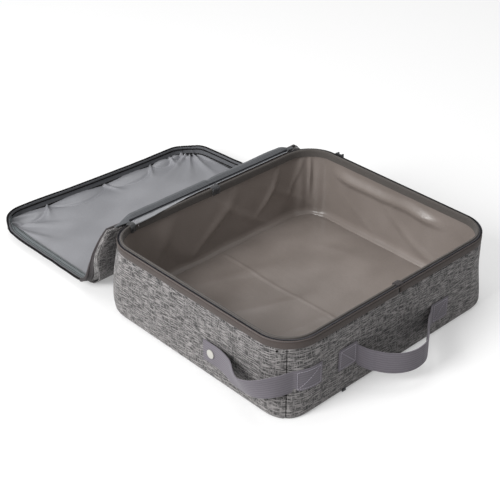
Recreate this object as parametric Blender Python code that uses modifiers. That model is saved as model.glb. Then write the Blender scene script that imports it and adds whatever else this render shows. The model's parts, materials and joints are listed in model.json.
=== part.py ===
# Foldable litter box with a zip lid, modelled in metres with +Z up.
# The origin is the middle of the tray's foot, and the handle is on the -Y side.

import math

import bmesh
import bpy
from mathutils import Vector

# Outside of the tray
tray_width = 0.400
tray_depth = 0.352
rim_height = 0.1155
corner_radius = 0.050

# Thickness of each layer, and the room between neighbours
fabric_thickness = 0.0012
pad_thickness = 0.0025
film_thickness = 0.0008
board_thickness = 0.0025
gap = 0.0003

# Rim
rim_depth = 0.0127
rim_core_thickness = 0.0034
binding_thickness = 0.0012
binding_drop = 0.0045
rim_notch = 0.0024
coil_radius = 0.0013
strip_thickness = 0.0008
strip_cover = 0.0075

# Lid
lid_length_far = 0.2300
lid_reach = 0.0540
skirt_height = 0.0200
skirt_thickness = 0.0016
zip_clearance = 0.0006
hinge_offset = 0.0020
hinge_rise = 0.0020
hinge_cord_radius = 0.0013
fold_gap = 0.0018
lid_start = 0.0110
band_thickness = 0.0010

# Webbing of the handle and of the corner strap
webbing_width = 0.0310
webbing_thickness = 0.0016
handle_left_run = 0.1210
handle_right_run = 0.1300
handle_left_height = 0.0540
handle_right_height = 0.0370
anchor_length = 0.0320
anchor_run = 0.0160
pivot_offset = 0.0200
handle_bulge = 0.0270
handle_droop = 0.0120
handle_lean_share = 1.25
strap_angle = 235.0
strap_patch_length = 0.0400
strap_height = 0.0550
strap_drop = 0.0110
strap_bulge = 0.0200
strap_tail = 0.0150
joint_clearance = 0.0010

# Snap button
snap_run = 0.1280
snap_radius = 0.0062
snap_cap_height = 0.0016
snap_socket_height = 0.0016
snap_stud_height = 0.0009
snap_ball_radius = 0.0024
snap_ball_height = 0.0013
snap_hole_radius = 0.0030
snap_shank_radius = 0.0014
cap_edge_share = 0.33

# Zip slider and its pull
slider_length = 0.0120
slider_thickness = 0.0030
slider_height = 0.0085
slider_rest = 0.0080
ear_reach = 0.0034
ear_width = 0.0020
pull_width = 0.0062
pull_thickness = 0.0012
pull_length = 0.0240
barrel_radius = 0.0014

# Fineness of round pieces
weld_distance = 0.00001
corner_steps = 12
ribbon_steps = 40
overrun = 0.0020

# Places that follow from the sizes above
half_width = tray_width / 2
half_depth = tray_depth / 2
handle_left = -half_width + handle_left_run
handle_right = half_width - handle_right_run
snap_y = -half_depth + snap_run
slider_y = half_depth - corner_radius - slider_rest
pad_inset = fabric_thickness + gap
film_inset = pad_inset + pad_thickness + gap
wall_thickness = film_inset + film_thickness
board_bottom = fabric_thickness + gap
floor_film_bottom = board_bottom + board_thickness + gap
floor_top = floor_film_bottom + film_thickness
rim_bottom = rim_height - rim_depth
wall_top = rim_bottom - gap
coil_inset = coil_radius + gap
coil_height = rim_height - coil_radius
band_top = coil_height - coil_radius - gap
core_inset = fabric_thickness + gap
binding_inset = core_inset + rim_core_thickness + 2 * gap
hinge_y = half_depth + hinge_offset
hinge_z = rim_height + hinge_rise
lid_thickness = fabric_thickness + pad_thickness + film_thickness + 2 * gap
fold_y = hinge_y + lid_reach
fold_z = lid_thickness
lid_length_near = math.hypot(lid_reach, hinge_z - fold_z)
near_angle = math.atan2(fold_z - hinge_z, lid_reach)
closed_height = rim_height + zip_clearance + skirt_height
closed_slope = math.asin((closed_height - hinge_z) / lid_length_near)
sheet_offset = gap + webbing_thickness / 2
handle_y = -half_depth - pivot_offset
handle_x_left = handle_left + anchor_run
handle_x_right = handle_right - anchor_run
snap_offset = 2 * gap + snap_stud_height + snap_socket_height + gap + webbing_thickness / 2 + gap
snap_z = strap_height - strap_drop
corner_signs = ((-1, -1), (1, -1), (1, 1), (-1, 1))
side_names = ("front", "right", "back", "left")
corner_names = ("front_left", "front_right", "back_right", "back_left")


def clear_scene():
    for old in list(bpy.data.objects):
        bpy.data.objects.remove(old, do_unlink=True)


def new_collection(name, shown=True):
    collection = bpy.data.collections.new(name)
    bpy.context.scene.collection.children.link(collection)
    collection.hide_render = not shown
    return collection


def new_material(name, colour, roughness, metallic=0.0):
    material = bpy.data.materials.new(name)
    material.use_nodes = True
    shader = material.node_tree.nodes["Principled BSDF"]
    shader.inputs["Base Color"].default_value = (*colour, 1.0)
    shader.inputs["Roughness"].default_value = roughness
    shader.inputs["Metallic"].default_value = metallic
    material.diffuse_color = (*colour, 1.0)
    return material


# Pieces are made from flat outlines, cords and ribbons


def add_mesh(name, mesh, material, parent=None):
    mesh.name = name
    mesh.materials.clear()
    mesh.materials.append(material)
    mesh.shade_smooth()
    mesh.set_sharp_from_angle(angle=math.radians(40))
    piece = bpy.data.objects.new(name, mesh)
    box_parts.objects.link(piece)
    piece.parent = parent
    return piece


def mesh_of_curve(curve):
    holder = bpy.data.objects.new("outline", curve)
    mesh = bpy.data.meshes.new_from_object(holder)
    bpy.data.objects.remove(holder)
    shape = bmesh.new()
    shape.from_mesh(mesh)
    bmesh.ops.remove_doubles(shape, verts=shape.verts, dist=weld_distance)
    bmesh.ops.recalc_face_normals(shape, faces=shape.faces)
    shape.to_mesh(mesh)
    shape.free()
    return mesh


def prism(name, rings, low, high, material, parent=None):
    curve = bpy.data.curves.new(name, "CURVE")
    curve.dimensions = "2D"
    curve.fill_mode = "BOTH"
    curve.extrude = (high - low) / 2
    for ring in rings:
        spline = curve.splines.new("POLY")
        spline.points.add(len(ring) - 1)
        for point, (x, y) in zip(spline.points, ring):
            point.co = (x, y, 0.0, 1.0)
        spline.use_cyclic_u = True
    mesh = mesh_of_curve(curve)
    for vertex in mesh.vertices:
        vertex.co.z += (low + high) / 2
    return add_mesh(name, mesh, material, parent)


def cord(name, points, radius, material, parent=None):
    curve = bpy.data.curves.new(name, "CURVE")
    curve.dimensions = "3D"
    curve.bevel_depth = radius
    curve.bevel_resolution = 2
    curve.use_fill_caps = True
    spline = curve.splines.new("POLY")
    spline.points.add(len(points) - 1)
    for point, place in zip(spline.points, points):
        point.co = (*place, 1.0)
    return add_mesh(name, mesh_of_curve(curve), material, parent)


def ribbon(name, place, width, thickness, material, parent=None, steps=ribbon_steps):
    # place gives the middle of the ribbon at a share of its length
    shape = bmesh.new()
    bmesh.ops.create_grid(shape, x_segments=steps, y_segments=2, size=0.5)
    for vertex in shape.verts:
        centre = place(vertex.co.x + 0.5)
        vertex.co = Vector(centre) + Vector((0.0, 0.0, vertex.co.y * width))
    mesh = bpy.data.meshes.new(name)
    shape.to_mesh(mesh)
    shape.free()
    piece = add_mesh(name, mesh, material, parent)
    solid = piece.modifiers.new("thickness", "SOLIDIFY")
    solid.thickness = thickness
    solid.offset = 0.0
    solid.use_even_offset = True
    return piece


def disc(name, radius, start, end, material, sides=32):
    # A round piece on an axis along X, from start to end
    shape = bmesh.new()
    bmesh.ops.create_cone(
        shape,
        cap_ends=True,
        segments=sides,
        radius1=radius,
        radius2=radius,
        depth=abs(end - start),
    )
    mesh = bpy.data.meshes.new(name)
    shape.to_mesh(mesh)
    shape.free()
    piece = add_mesh(name, mesh, material)
    piece.rotation_euler.y = math.radians(90)
    piece.location = ((start + end) / 2, snap_y, snap_z)
    return piece


def join_to(piece, tool, operation):
    tool.hide_render = True
    tool.display_type = "WIRE"
    box_parts.objects.unlink(tool)
    guides.objects.link(tool)
    cut = piece.modifiers.new(operation.lower(), "BOOLEAN")
    cut.operation = operation
    cut.solver = "EXACT"
    cut.object = tool


def axis_empty(name, place, tilt=0.0):
    empty = bpy.data.objects.new(name, None)
    empty.location = place
    empty.rotation_euler.x = tilt
    guides.objects.link(empty)
    return empty


# Outlines around the tray, each at an inset from its outside


def corner_arc(corner, inset, start, stop):
    sign_x, sign_y = corner
    radius = corner_radius - inset
    centre_x = sign_x * (half_width - corner_radius)
    centre_y = sign_y * (half_depth - corner_radius)
    points = []
    for step in range(corner_steps + 1):
        angle = math.radians(start + (stop - start) * step / corner_steps)
        points.append((centre_x + radius * math.cos(angle), centre_y + radius * math.sin(angle)))
    return points


def full_outline(inset):
    points = []
    for number, corner in enumerate(corner_signs):
        points += corner_arc(corner, inset, 180 + 90 * number, 270 + 90 * number)
    return points


def panel_path(number, inset):
    # One wall with half of the corner at each end
    trim = math.degrees(gap / 2 / corner_radius)
    turn = 90 * number
    first = corner_arc(corner_signs[number], inset, 225 + turn + trim, 270 + turn)
    second = corner_arc(corner_signs[(number + 1) % 4], inset, 270 + turn, 315 + turn - trim)
    return first + second


def between(path, inset_low, inset_high):
    return [path(inset_low) + path(inset_high)[::-1]]


def straight_path(number, inset):
    start = Vector(corner_arc(corner_signs[number], inset, 180 + 90 * number, 270 + 90 * number)[-1])
    end = Vector(corner_arc(corner_signs[(number + 1) % 4], inset, 270 + 90 * number, 360 + 90 * number)[0])
    step = (end - start).normalized() * gap
    return [tuple(start + step), tuple(end - step)]


def half_rim_path(side, inset):
    right = [(rim_notch / 2, -half_depth + inset)]
    right += corner_arc((1, -1), inset, 270, 360)
    right += corner_arc((1, 1), inset, 0, 90)
    right += [(rim_notch / 2, half_depth - inset)]
    return [(side * x, y) for x, y in right]


def zip_path(inset):
    points = corner_arc((-1, 1), inset, 90, 180)
    points += corner_arc((-1, -1), inset, 180, 270)
    points += corner_arc((1, -1), inset, 270, 360)
    points += corner_arc((1, 1), inset, 0, 90)
    return points


# The tray's floor and walls


def build_floor():
    prism("floor_cover", [full_outline(0)], 0, fabric_thickness, heather)
    board_top = board_bottom + board_thickness
    prism("floor_board", [full_outline(pad_inset)], board_bottom, board_top, board_grey)
    prism("floor_lining", [full_outline(film_inset)], floor_film_bottom, floor_top, film)


def build_walls():
    for number, side in enumerate(side_names):

        def path(inset, number=number):
            return panel_path(number, inset)

        def straight(inset, number=number):
            return straight_path(number, inset)

        outer = between(path, 0, fabric_thickness)
        prism("wall_cover_" + side, outer, board_bottom, wall_top, heather)
        foam = between(straight, pad_inset, pad_inset + pad_thickness)
        prism("wall_pad_" + side, foam, floor_film_bottom, wall_top, foam_black)
        inner = between(path, film_inset, wall_thickness)
        prism("wall_lining_" + side, inner, floor_top + gap, wall_top, film)


def build_corner_pads():
    for number, corner in enumerate(corner_signs):

        def path(inset, number=number, corner=corner):
            return corner_arc(corner, inset, 180 + 90 * number, 270 + 90 * number)

        foam = between(path, pad_inset, pad_inset + pad_thickness)
        prism("corner_pad_" + corner_names[number], foam, floor_film_bottom, wall_top, foam_black)


# The rim, in two halves with a notch at the middle of the front and of the back


def build_rim():
    for side, label in ((-1, "left"), (1, "right")):

        def path(inset, side=side):
            return half_rim_path(side, inset)

        band = between(path, 0, fabric_thickness)
        prism("rim_band_" + label, band, rim_bottom, band_top, tape_brown)
        core = between(path, core_inset, core_inset + rim_core_thickness)
        prism("rim_core_" + label, core, rim_bottom, band_top, foam_black)
        edge = between(path, binding_inset, binding_inset + binding_thickness)
        prism("rim_binding_" + label, edge, rim_bottom - binding_drop, rim_height - gap, binding_olive)
    coil = [(x, y, coil_height) for x, y in zip_path(coil_inset)]
    cord("rim_zip", coil, coil_radius, zip_black)


def build_hinge():
    straight = half_width - corner_radius
    strip_end = hinge_y - hinge_cord_radius - gap
    strip = [(-straight, strip_end), (straight, strip_end)]
    strip += [(straight, strip_end - strip_cover), (-straight, strip_end - strip_cover)]
    strip_low = rim_height + gap
    prism("hinge_strip", [strip], strip_low, strip_low + strip_thickness, film)
    hinge_axis = axis_empty("lid_hinge_axis", (0, hinge_y, hinge_z))
    ends = [(-straight, 0, 0), (straight, 0, 0)]
    cord("lid_hinge_cord", ends, hinge_cord_radius, zip_black, hinge_axis)


# The lid, which hangs from the rim to a fold on the floor


def lid_layers(label, ring, parent):
    film_low = -film_thickness
    pad_high = film_low - gap
    pad_low = pad_high - pad_thickness
    cover_high = pad_low - gap
    prism(label + "_lining", [ring], film_low, 0, lid_film, parent)
    prism(label + "_pad", [ring], pad_low, pad_high, foam_black, parent)
    prism(label + "_cover", [ring], cover_high - fabric_thickness, cover_high, heather, parent)


def near_edge(distance):
    # Height of the zip's edge over the lining, so that it meets the rim when shut
    drop = hinge_rise - zip_clearance
    return (distance * math.sin(closed_slope) + drop) / math.cos(closed_slope)


def near_skirt(side, label, parent):
    across = half_width - coil_inset - 2 * coil_radius - gap
    start = corner_radius
    end = lid_length_near - fold_gap
    cut = 2 * coil_radius + gap
    ring = [(start, gap), (end, gap), (end, near_edge(end) - cut), (start, near_edge(start) - cut)]
    half = skirt_thickness / 2
    skirt = prism("lid_near_skirt_" + label, [ring], -half, half, heather, parent)
    skirt.rotation_euler = (math.radians(90), 0, math.radians(90))
    skirt.location.x = side * across
    ends = [(side * across, place, near_edge(place) - coil_radius) for place in (start, end)]
    cord("lid_near_zip_" + label, ends, coil_radius, zip_black, parent)


def build_lid_near():
    axis = axis_empty("lid_near_axis", (0, hinge_y, hinge_z), near_angle)
    end = lid_length_near - fold_gap
    right = [(half_width, end)]
    for step in range(corner_steps + 1):
        angle = math.radians(-90 * step / corner_steps)
        across = half_width - corner_radius + corner_radius * math.cos(angle)
        along = corner_radius + corner_radius * math.sin(angle)
        if along > lid_start:
            right.append((across, along))
    reach = math.sqrt(corner_radius**2 - (corner_radius - lid_start) ** 2)
    right.append((half_width - corner_radius + reach, lid_start))
    ring = right + [(-x, y) for x, y in right[::-1]]
    lid_layers("lid_near", ring, axis)
    straight = half_width - corner_radius
    band_start = hinge_cord_radius + gap
    band_end = lid_start - gap
    band = [(-straight, band_start), (straight, band_start), (straight, band_end), (-straight, band_end)]
    prism("hinge_band", [band], -band_thickness / 2, band_thickness / 2, tape_slate, axis)
    near_skirt(-1, "left", axis)
    near_skirt(1, "right", axis)


def far_path(inset):
    radius = corner_radius - inset
    right = [(half_width - inset, fold_gap)]
    for step in range(corner_steps + 1):
        angle = math.radians(90 * step / corner_steps)
        across = half_width - corner_radius + radius * math.cos(angle)
        along = lid_length_far - corner_radius + radius * math.sin(angle)
        right.append((across, along))
    return right + [(-x, y) for x, y in right[::-1]]


def build_lid_far():
    axis = axis_empty("lid_far_axis", (0, fold_y, fold_z))
    ends = [(-half_width, 0, 0), (half_width, 0, 0)]
    cord("lid_fold_cord", ends, hinge_cord_radius, zip_black, axis)
    lid_layers("lid_far", far_path(0), axis)
    skirt_top = skirt_height - 2 * coil_radius - gap
    skirt = between(far_path, 0, skirt_thickness)
    prism("lid_far_skirt", skirt, gap, skirt_top, heather, axis)
    coil = [(x, y, skirt_height - coil_radius) for x, y in far_path(coil_inset)]
    cord("lid_far_zip", coil, coil_radius, zip_black, axis)


# The carry handle: two sewn anchors and a loop between them


def anchor_place(inner, height, side):
    # side is -1 for the left anchor, whose sewn end is to the left
    def place(share):
        length = anchor_length + anchor_run
        along = share * length
        x = inner + side * (anchor_length - along)
        lift = max(along - anchor_length, 0.0) / anchor_run
        rise = 0.5 - 0.5 * math.cos(math.pi * lift)
        y = -half_depth - sheet_offset - (pivot_offset - sheet_offset) * rise
        return (x, y, height)

    return place


def handle_place(share):
    span = handle_x_right - handle_x_left - 2 * joint_clearance
    x = handle_x_left + joint_clearance + span * share
    skewed = share**handle_lean_share
    y = handle_y - handle_bulge * math.sin(math.pi * skewed)
    slope = handle_left_height + (handle_right_height - handle_left_height) * share
    return (x, y, slope - handle_droop * math.sin(math.pi * share))


def build_handle():
    left = anchor_place(handle_left, handle_left_height, -1)
    right = anchor_place(handle_right, handle_right_height, 1)
    ribbon("handle_anchor_left", left, webbing_width, webbing_thickness, webbing)
    ribbon("handle_anchor_right", right, webbing_width, webbing_thickness, webbing)
    axis_empty("handle_axis", (handle_x_left, handle_y, handle_left_height))
    ribbon("handle_loop", handle_place, webbing_width, webbing_thickness, webbing)


# The strap round the front left corner, and its snap button


def around_corner(distance, offset):
    # A point on the tray's outside, at a distance past the strap's sewn end
    turn = math.degrees(distance / corner_radius)
    centre = Vector((-half_width + corner_radius, -half_depth + corner_radius))
    arc = math.radians(strap_angle - 180) * corner_radius
    if distance > arc:
        return (-half_width - offset, centre.y + distance - arc)
    angle = math.radians(strap_angle - turn)
    if angle > math.radians(270):
        over = (math.degrees(angle) - 270) / 180 * math.pi * corner_radius
        return (centre.x + over, -half_depth - offset)
    return tuple(centre + (corner_radius + offset) * Vector((math.cos(angle), math.sin(angle))))


def strap_snap_distance():
    arc = math.radians(strap_angle - 180) * corner_radius
    return arc + snap_y - (-half_depth + corner_radius)


def patch_place(share):
    x, y = around_corner((share - 1) * strap_patch_length, sheet_offset)
    return (x, y, strap_height)


def strap_place(share):
    to_snap = strap_snap_distance()
    distance = joint_clearance + share * (to_snap + strap_tail - joint_clearance)
    part = min(distance / (to_snap - snap_radius), 1.0)
    settle = 0.5 - 0.5 * math.cos(math.pi * part)
    swell = strap_bulge * math.sin(math.pi * part) ** 2
    offset = sheet_offset + (snap_offset - sheet_offset) * settle + swell
    x, y = around_corner(distance, offset)
    return (x, y, strap_height - strap_drop * settle)


def build_strap():
    ribbon("strap_patch", patch_place, webbing_width, webbing_thickness, webbing)
    strap = ribbon("snap_strap", strap_place, webbing_width, webbing_thickness, webbing)
    x, y = around_corner(0, sheet_offset + webbing_thickness / 2)
    axis_empty("strap_axis", (x, y, strap_height))
    middle = -half_width - snap_offset
    half = webbing_thickness / 2
    hole = disc("strap_hole", snap_shank_radius + gap, middle - half - overrun, middle + half + overrun, steel)
    join_to(strap, hole, "DIFFERENCE")


def build_snap():
    middle = -half_width - snap_offset
    half = webbing_thickness / 2
    flange = -half_width - gap
    ball_start = flange - snap_stud_height
    stud = disc("snap_stud", snap_radius - gap, flange, ball_start, steel)
    ball = disc("snap_ball", snap_ball_radius, flange - gap, ball_start - snap_ball_height, steel)
    join_to(stud, ball, "UNION")
    socket_start = middle + half + gap
    socket_end = socket_start + snap_socket_height
    socket = disc("snap_socket", snap_radius - gap, socket_start, socket_end, steel)
    hole_bottom = ball_start - snap_ball_height - gap
    opening = disc("snap_opening", snap_hole_radius, hole_bottom, socket_end + overrun, steel)
    join_to(socket, opening, "DIFFERENCE")
    cap_start = middle - half - gap
    cap = disc("snap_cap", snap_radius, cap_start - snap_cap_height, cap_start, snap_white)
    shank = disc("snap_shank", snap_shank_radius, cap_start - gap, middle + half, steel)
    join_to(cap, shank, "UNION")
    edge = cap.modifiers.new("rounded edge", "BEVEL")
    edge.width = snap_cap_height * cap_edge_share
    edge.segments = 2
    edge.limit_method = "ANGLE"
    edge.angle_limit = math.radians(50)


# The zip slider on the right side of the rim, and its pull


def build_slider():
    start = half_width + gap
    face = start + slider_thickness
    ear = face + ear_reach
    half = slider_length / 2
    inner = pull_width / 2 + gap
    outer = inner + ear_width
    ring = [(start, -half), (face, -half), (face, -outer), (ear, -outer), (ear, -inner), (face, -inner)]
    ring += [(x, -y) for x, y in ring[::-1]]
    ring = [(x, y + slider_y) for x, y in ring]
    prism("zip_slider", [ring], rim_height - slider_height, rim_height - gap, slider_grey)


def build_pull():
    start = half_width + gap + slider_thickness
    centre = start + ear_reach / 2
    height = rim_height - slider_height / 2
    pivot = axis_empty("zip_pull_axis", (centre, slider_y, height))
    half = pull_thickness / 2
    meet = math.asin(half / barrel_radius)
    ring = []
    for step in range(2 * corner_steps + 1):
        share = step / (2 * corner_steps)
        angle = math.radians(-90) + meet + share * (2 * math.pi - 2 * meet)
        ring.append((barrel_radius * math.cos(angle), barrel_radius * math.sin(angle)))
    ring += [(-half, -pull_length), (half, -pull_length)]
    pull = prism("zip_pull", [ring], -pull_width / 2, pull_width / 2, slider_grey, pivot)
    pull.rotation_euler.x = math.radians(90)


clear_scene()
box_parts = new_collection("foldable_litter_box")
guides = new_collection("guides", shown=False)
heather = new_material("heather_fabric", (0.115, 0.110, 0.104), 0.92)
film = new_material("lining_film", (0.150, 0.135, 0.125), 0.38)
lid_film = new_material("lid_lining_film", (0.300, 0.302, 0.318), 0.55)
board_grey = new_material("floor_board", (0.100, 0.100, 0.100), 0.80)
foam_black = new_material("foam", (0.030, 0.030, 0.030), 0.95)
tape_brown = new_material("rim_tape", (0.085, 0.066, 0.060), 0.85)
tape_slate = new_material("hinge_tape", (0.075, 0.080, 0.086), 0.80)
binding_olive = new_material("rim_binding", (0.050, 0.048, 0.042), 0.75)
zip_black = new_material("zip", (0.022, 0.022, 0.026), 0.55)
webbing = new_material("webbing", (0.155, 0.140, 0.165), 0.85)
steel = new_material("snap_steel", (0.560, 0.560, 0.570), 0.35, 1.0)
snap_white = new_material("snap_cap", (0.720, 0.700, 0.640), 0.40)
slider_grey = new_material("zip_slider", (0.060, 0.060, 0.065), 0.45, 0.6)
build_floor()
build_walls()
build_corner_pads()
build_rim()
build_hinge()
build_lid_near()
build_lid_far()
build_handle()
build_strap()
build_snap()
build_slider()
build_pull()
bpy.context.view_layer.update()
print("near section", round(lid_length_near, 5), "m at", round(math.degrees(near_angle), 3), "degrees")
print("slope when shut", round(math.degrees(closed_slope), 3), "degrees, fold at", round(fold_y, 4), round(fold_z, 4))
print("pieces", len(box_parts.objects))
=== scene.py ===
# %% [markdown]
# # Dressing a foldable litter box
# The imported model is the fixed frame: every solid is in its real place, in metres.
# This lesson puts cloth, film, webbing and thread over it, one kind of piece at a time.

# %% Load the frame
import json
import math

import bmesh
import bpy
from mathutils import Matrix, Vector, noise

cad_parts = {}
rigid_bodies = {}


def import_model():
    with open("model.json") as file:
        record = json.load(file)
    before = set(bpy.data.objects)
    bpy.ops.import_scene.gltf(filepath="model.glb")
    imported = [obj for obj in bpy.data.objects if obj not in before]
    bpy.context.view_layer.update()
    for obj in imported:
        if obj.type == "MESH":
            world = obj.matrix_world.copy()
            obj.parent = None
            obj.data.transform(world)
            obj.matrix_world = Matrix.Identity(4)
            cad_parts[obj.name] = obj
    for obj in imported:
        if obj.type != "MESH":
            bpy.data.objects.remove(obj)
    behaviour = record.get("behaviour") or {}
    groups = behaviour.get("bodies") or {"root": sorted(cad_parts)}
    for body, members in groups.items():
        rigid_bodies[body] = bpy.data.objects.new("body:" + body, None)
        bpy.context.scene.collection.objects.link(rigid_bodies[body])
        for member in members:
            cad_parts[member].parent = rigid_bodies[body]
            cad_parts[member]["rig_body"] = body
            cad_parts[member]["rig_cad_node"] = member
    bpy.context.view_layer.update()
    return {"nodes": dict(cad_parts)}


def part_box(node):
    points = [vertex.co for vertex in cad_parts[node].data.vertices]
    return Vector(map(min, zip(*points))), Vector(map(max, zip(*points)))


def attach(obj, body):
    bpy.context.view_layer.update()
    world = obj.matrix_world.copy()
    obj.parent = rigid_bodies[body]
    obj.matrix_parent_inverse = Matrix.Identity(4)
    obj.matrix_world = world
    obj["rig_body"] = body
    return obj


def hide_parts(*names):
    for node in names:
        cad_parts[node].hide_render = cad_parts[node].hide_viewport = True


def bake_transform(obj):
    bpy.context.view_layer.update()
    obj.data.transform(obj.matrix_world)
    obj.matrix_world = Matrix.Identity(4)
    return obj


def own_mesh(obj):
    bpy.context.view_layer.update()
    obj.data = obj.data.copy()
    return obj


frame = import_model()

nodes = frame["nodes"]

# %% [markdown]
# ## Sizes
# Nothing is measured twice. The tray's outline, the heights of its layers and the two
# lines on which the lid bends are read from the solids that already have them.

# %% Read the main sizes from the frame
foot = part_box("floor_cover")[1]
half_width = foot.x
half_depth = foot.y
corner_radius = half_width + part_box("corner_pad_front_left")[1].x
wall_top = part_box("wall_cover_front")[1].z
floor_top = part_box("floor_lining")[1].z
rim_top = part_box("rim_zip")[1].z
band_low, band_high = [corner.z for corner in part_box("rim_band_left")]
hinge = sum(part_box("lid_hinge_cord"), Vector()) / 2
fold = sum(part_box("lid_fold_cord"), Vector()) / 2
lid_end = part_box("lid_far_cover")[1].y
skirt_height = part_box("lid_far_zip")[1].z - fold.z
print("tray", 2 * half_width, "by", 2 * half_depth, "by", round(rim_top, 4))

# %% [markdown]
# ## Walking round the tray
# Walls, rim, zip and seams all follow one rounded outline. It is easiest to walk along it:
# a distance from the middle of the front gives a point and the direction that points out.

# %% Walk along the outline
side_x = 2 * (half_width - corner_radius)
side_y = 2 * (half_depth - corner_radius)
quarter = math.pi * corner_radius / 2
legs = (side_x / 2, quarter, side_y, quarter, side_x, quarter, side_y, quarter, side_x / 2)
girth = sum(legs)
corner_middles = [sum(legs[: 2 * number + 1]) + quarter / 2 for number in range(4)]


def walk_legs(legs, point, heading, left):
    """Where a walk ends and which way is out there. Every second leg is a round corner."""
    for number, leg in enumerate(legs):
        step = min(left, leg)
        if number % 2:
            turned = heading + step / corner_radius
            point.x += corner_radius * (math.sin(turned) - math.sin(heading))
            point.y -= corner_radius * (math.cos(turned) - math.cos(heading))
            heading = turned
        else:
            point += Vector((math.cos(heading), math.sin(heading), 0.0)) * step
        left -= step
        if left <= 0:
            break
    return point, Vector((math.sin(heading), -math.cos(heading), 0.0))


def walk(distance):
    return walk_legs(legs, Vector((0.0, -half_depth, 0.0)), 0.0, distance % girth)


def on_outline(distance, outward, height):
    point, out = walk(distance)
    return point + out * outward + Vector((0.0, 0.0, height))


def nearness(distance, target):
    gap = abs(distance - target) % girth
    return min(gap, girth - gap)


print("round the tray", round(girth, 4), "m")

# %% [markdown]
# ## Small helpers for soft shapes
# Cloth is drawn by rules: a smooth step between two values, a hump that is one at its
# middle, a line with corners in it, and noise that is the same at every run.

# %% Rules for soft shapes


def unit(value):
    return min(max(value, 0.0), 1.0)


def smooth(value, low=0.0, high=1.0):
    share = unit((value - low) / (high - low))
    return share * share * (3 - 2 * share)


def hump(value, middle, reach):
    return 1 - smooth(abs(value - middle), 0.0, reach)


def arch(share):
    """Nothing at both ends and one in the middle."""
    return math.sin(math.pi * share)


def spans_of(points):
    return [math.dist(a, b) for a, b in zip(points, points[1:])]


def along(points, share):
    """The place at a share of the length of a line with corners."""
    spans = spans_of(points)
    left = unit(share) * sum(spans)
    for start, end, span in zip(points, points[1:], spans):
        if left <= span:
            break
        left -= span
    part = min(left / span, 1.0)
    return [a + (b - a) * part for a, b in zip(start, end)]


def bezier(a, b, c, d, share):
    rest = 1 - share
    return a * rest**3 + b * 3 * rest**2 * share + c * 3 * rest * share**2 + d * share**3


def rough(x, y, seed, scale):
    """Soft noise between about -1 and 1, with features of the given size in metres."""
    return noise.noise(Vector((x / scale, y / scale, seed)))


RIDGE = 0.11
WANDER = 1.2


def crease(x, y, seed, scale):
    """Soft ridges that wander along y, a scale apart, and fade in and out: one on a crest."""
    phase = x / scale + WANDER * rough(x, y, seed, 2 * scale)
    off = (phase - round(phase)) / RIDGE
    return math.exp(-off * off) * smooth(rough(x, y, seed + 7.7, 1.5 * scale), -0.25, 0.35)


# %% [markdown]
# ## Making a sheet
# Every cloth here starts as a flat grid. Its map is written in metres before it is bent,
# so that a weave keeps its real size, and a rule then says where each point goes.

# %% Dress a piece
cuts, finishes = {}, {}


def to_object(name, shape):
    mesh = bpy.data.meshes.new(name)
    shape.to_mesh(mesh)
    shape.free()
    mesh.shade_smooth()
    piece = bpy.data.objects.new(name, mesh)
    bpy.context.scene.collection.objects.link(piece)
    return piece


def coat(piece, finish):
    piece.data.materials.clear()
    piece.data.materials.append(finishes[finish])


def dress(piece, finish, slot, carrier, stands_for=()):
    """carrier is a body, or two bodies and where the bend between them starts and ends."""
    coat(piece, finish)
    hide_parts(*stands_for)
    if isinstance(carrier, str):
        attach(piece, carrier)
    else:
        first, second, start, end = carrier
        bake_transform(piece)
        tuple(start)
        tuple(end)
    return piece


# %% Make a sheet from a grid


def cloth(name, squares, size, place, thickness, look, stands_for=(), **more):
    """A sheet of squares, size metres when flat. look is its finish, slot and carrier."""
    cuts[name] = size
    shape = bmesh.new()
    bmesh.ops.create_grid(shape, x_segments=squares[0], y_segments=squares[1], size=0.5)
    layer = shape.loops.layers.uv.new("cloth")
    for face in shape.faces:
        for corner in face.loops:
            spot = corner.vert.co
            corner[layer].uv = ((spot.x + 0.5) * size[0], (spot.y + 0.5) * size[1])
    for vertex in shape.verts:
        vertex.co = place(vertex.co.x + 0.5, vertex.co.y + 0.5)
    if more.get("closed"):
        bmesh.ops.remove_doubles(shape, verts=shape.verts, dist=1e-6)
    piece = to_object(name, shape)
    solid = piece.modifiers.new("thickness", "SOLIDIFY")
    solid.thickness = thickness
    solid.offset = more.get("offset", -1)
    if "soft_edge" in more:
        edge = piece.modifiers.new("soft edge", "BEVEL")
        edge.width = more["soft_edge"]
        edge.segments = 2
        edge.limit_method = "ANGLE"
    return dress(piece, *look, stands_for)


# %% Make a thread from a line


def wire(name, points, radius, look, stands_for=(), closed=False, sides=1):
    """A round thread along a line of points, made a mesh at once."""
    curve = bpy.data.curves.new(name, "CURVE")
    curve.dimensions = "3D"
    curve.bevel_depth = radius
    curve.bevel_resolution = sides
    curve.use_fill_caps = not closed
    spline = curve.splines.new("POLY")
    spline.points.add(len(points) - 1)
    for spot, place in zip(spline.points, points):
        spot.co = (*place, 1.0)
    spline.use_cyclic_u = closed
    holder = bpy.data.objects.new(name + "_line", curve)
    mesh = bpy.data.meshes.new_from_object(holder)
    bpy.data.objects.remove(holder)
    shape = bmesh.new()
    shape.from_mesh(mesh)
    bmesh.ops.remove_doubles(shape, verts=shape.verts, dist=1e-7)
    bmesh.ops.recalc_face_normals(shape, faces=shape.faces)
    bpy.data.meshes.remove(mesh)
    return dress(to_object(name, shape), *look, stands_for)


# %% [markdown]
# ## Finishes as node groups
# A weave, a crinkle or a dusting of lint is used by more than one material, so each is a
# node group. A group hands back only colours and heights; the shader stays outside.

# %% Helpers for node groups


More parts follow.
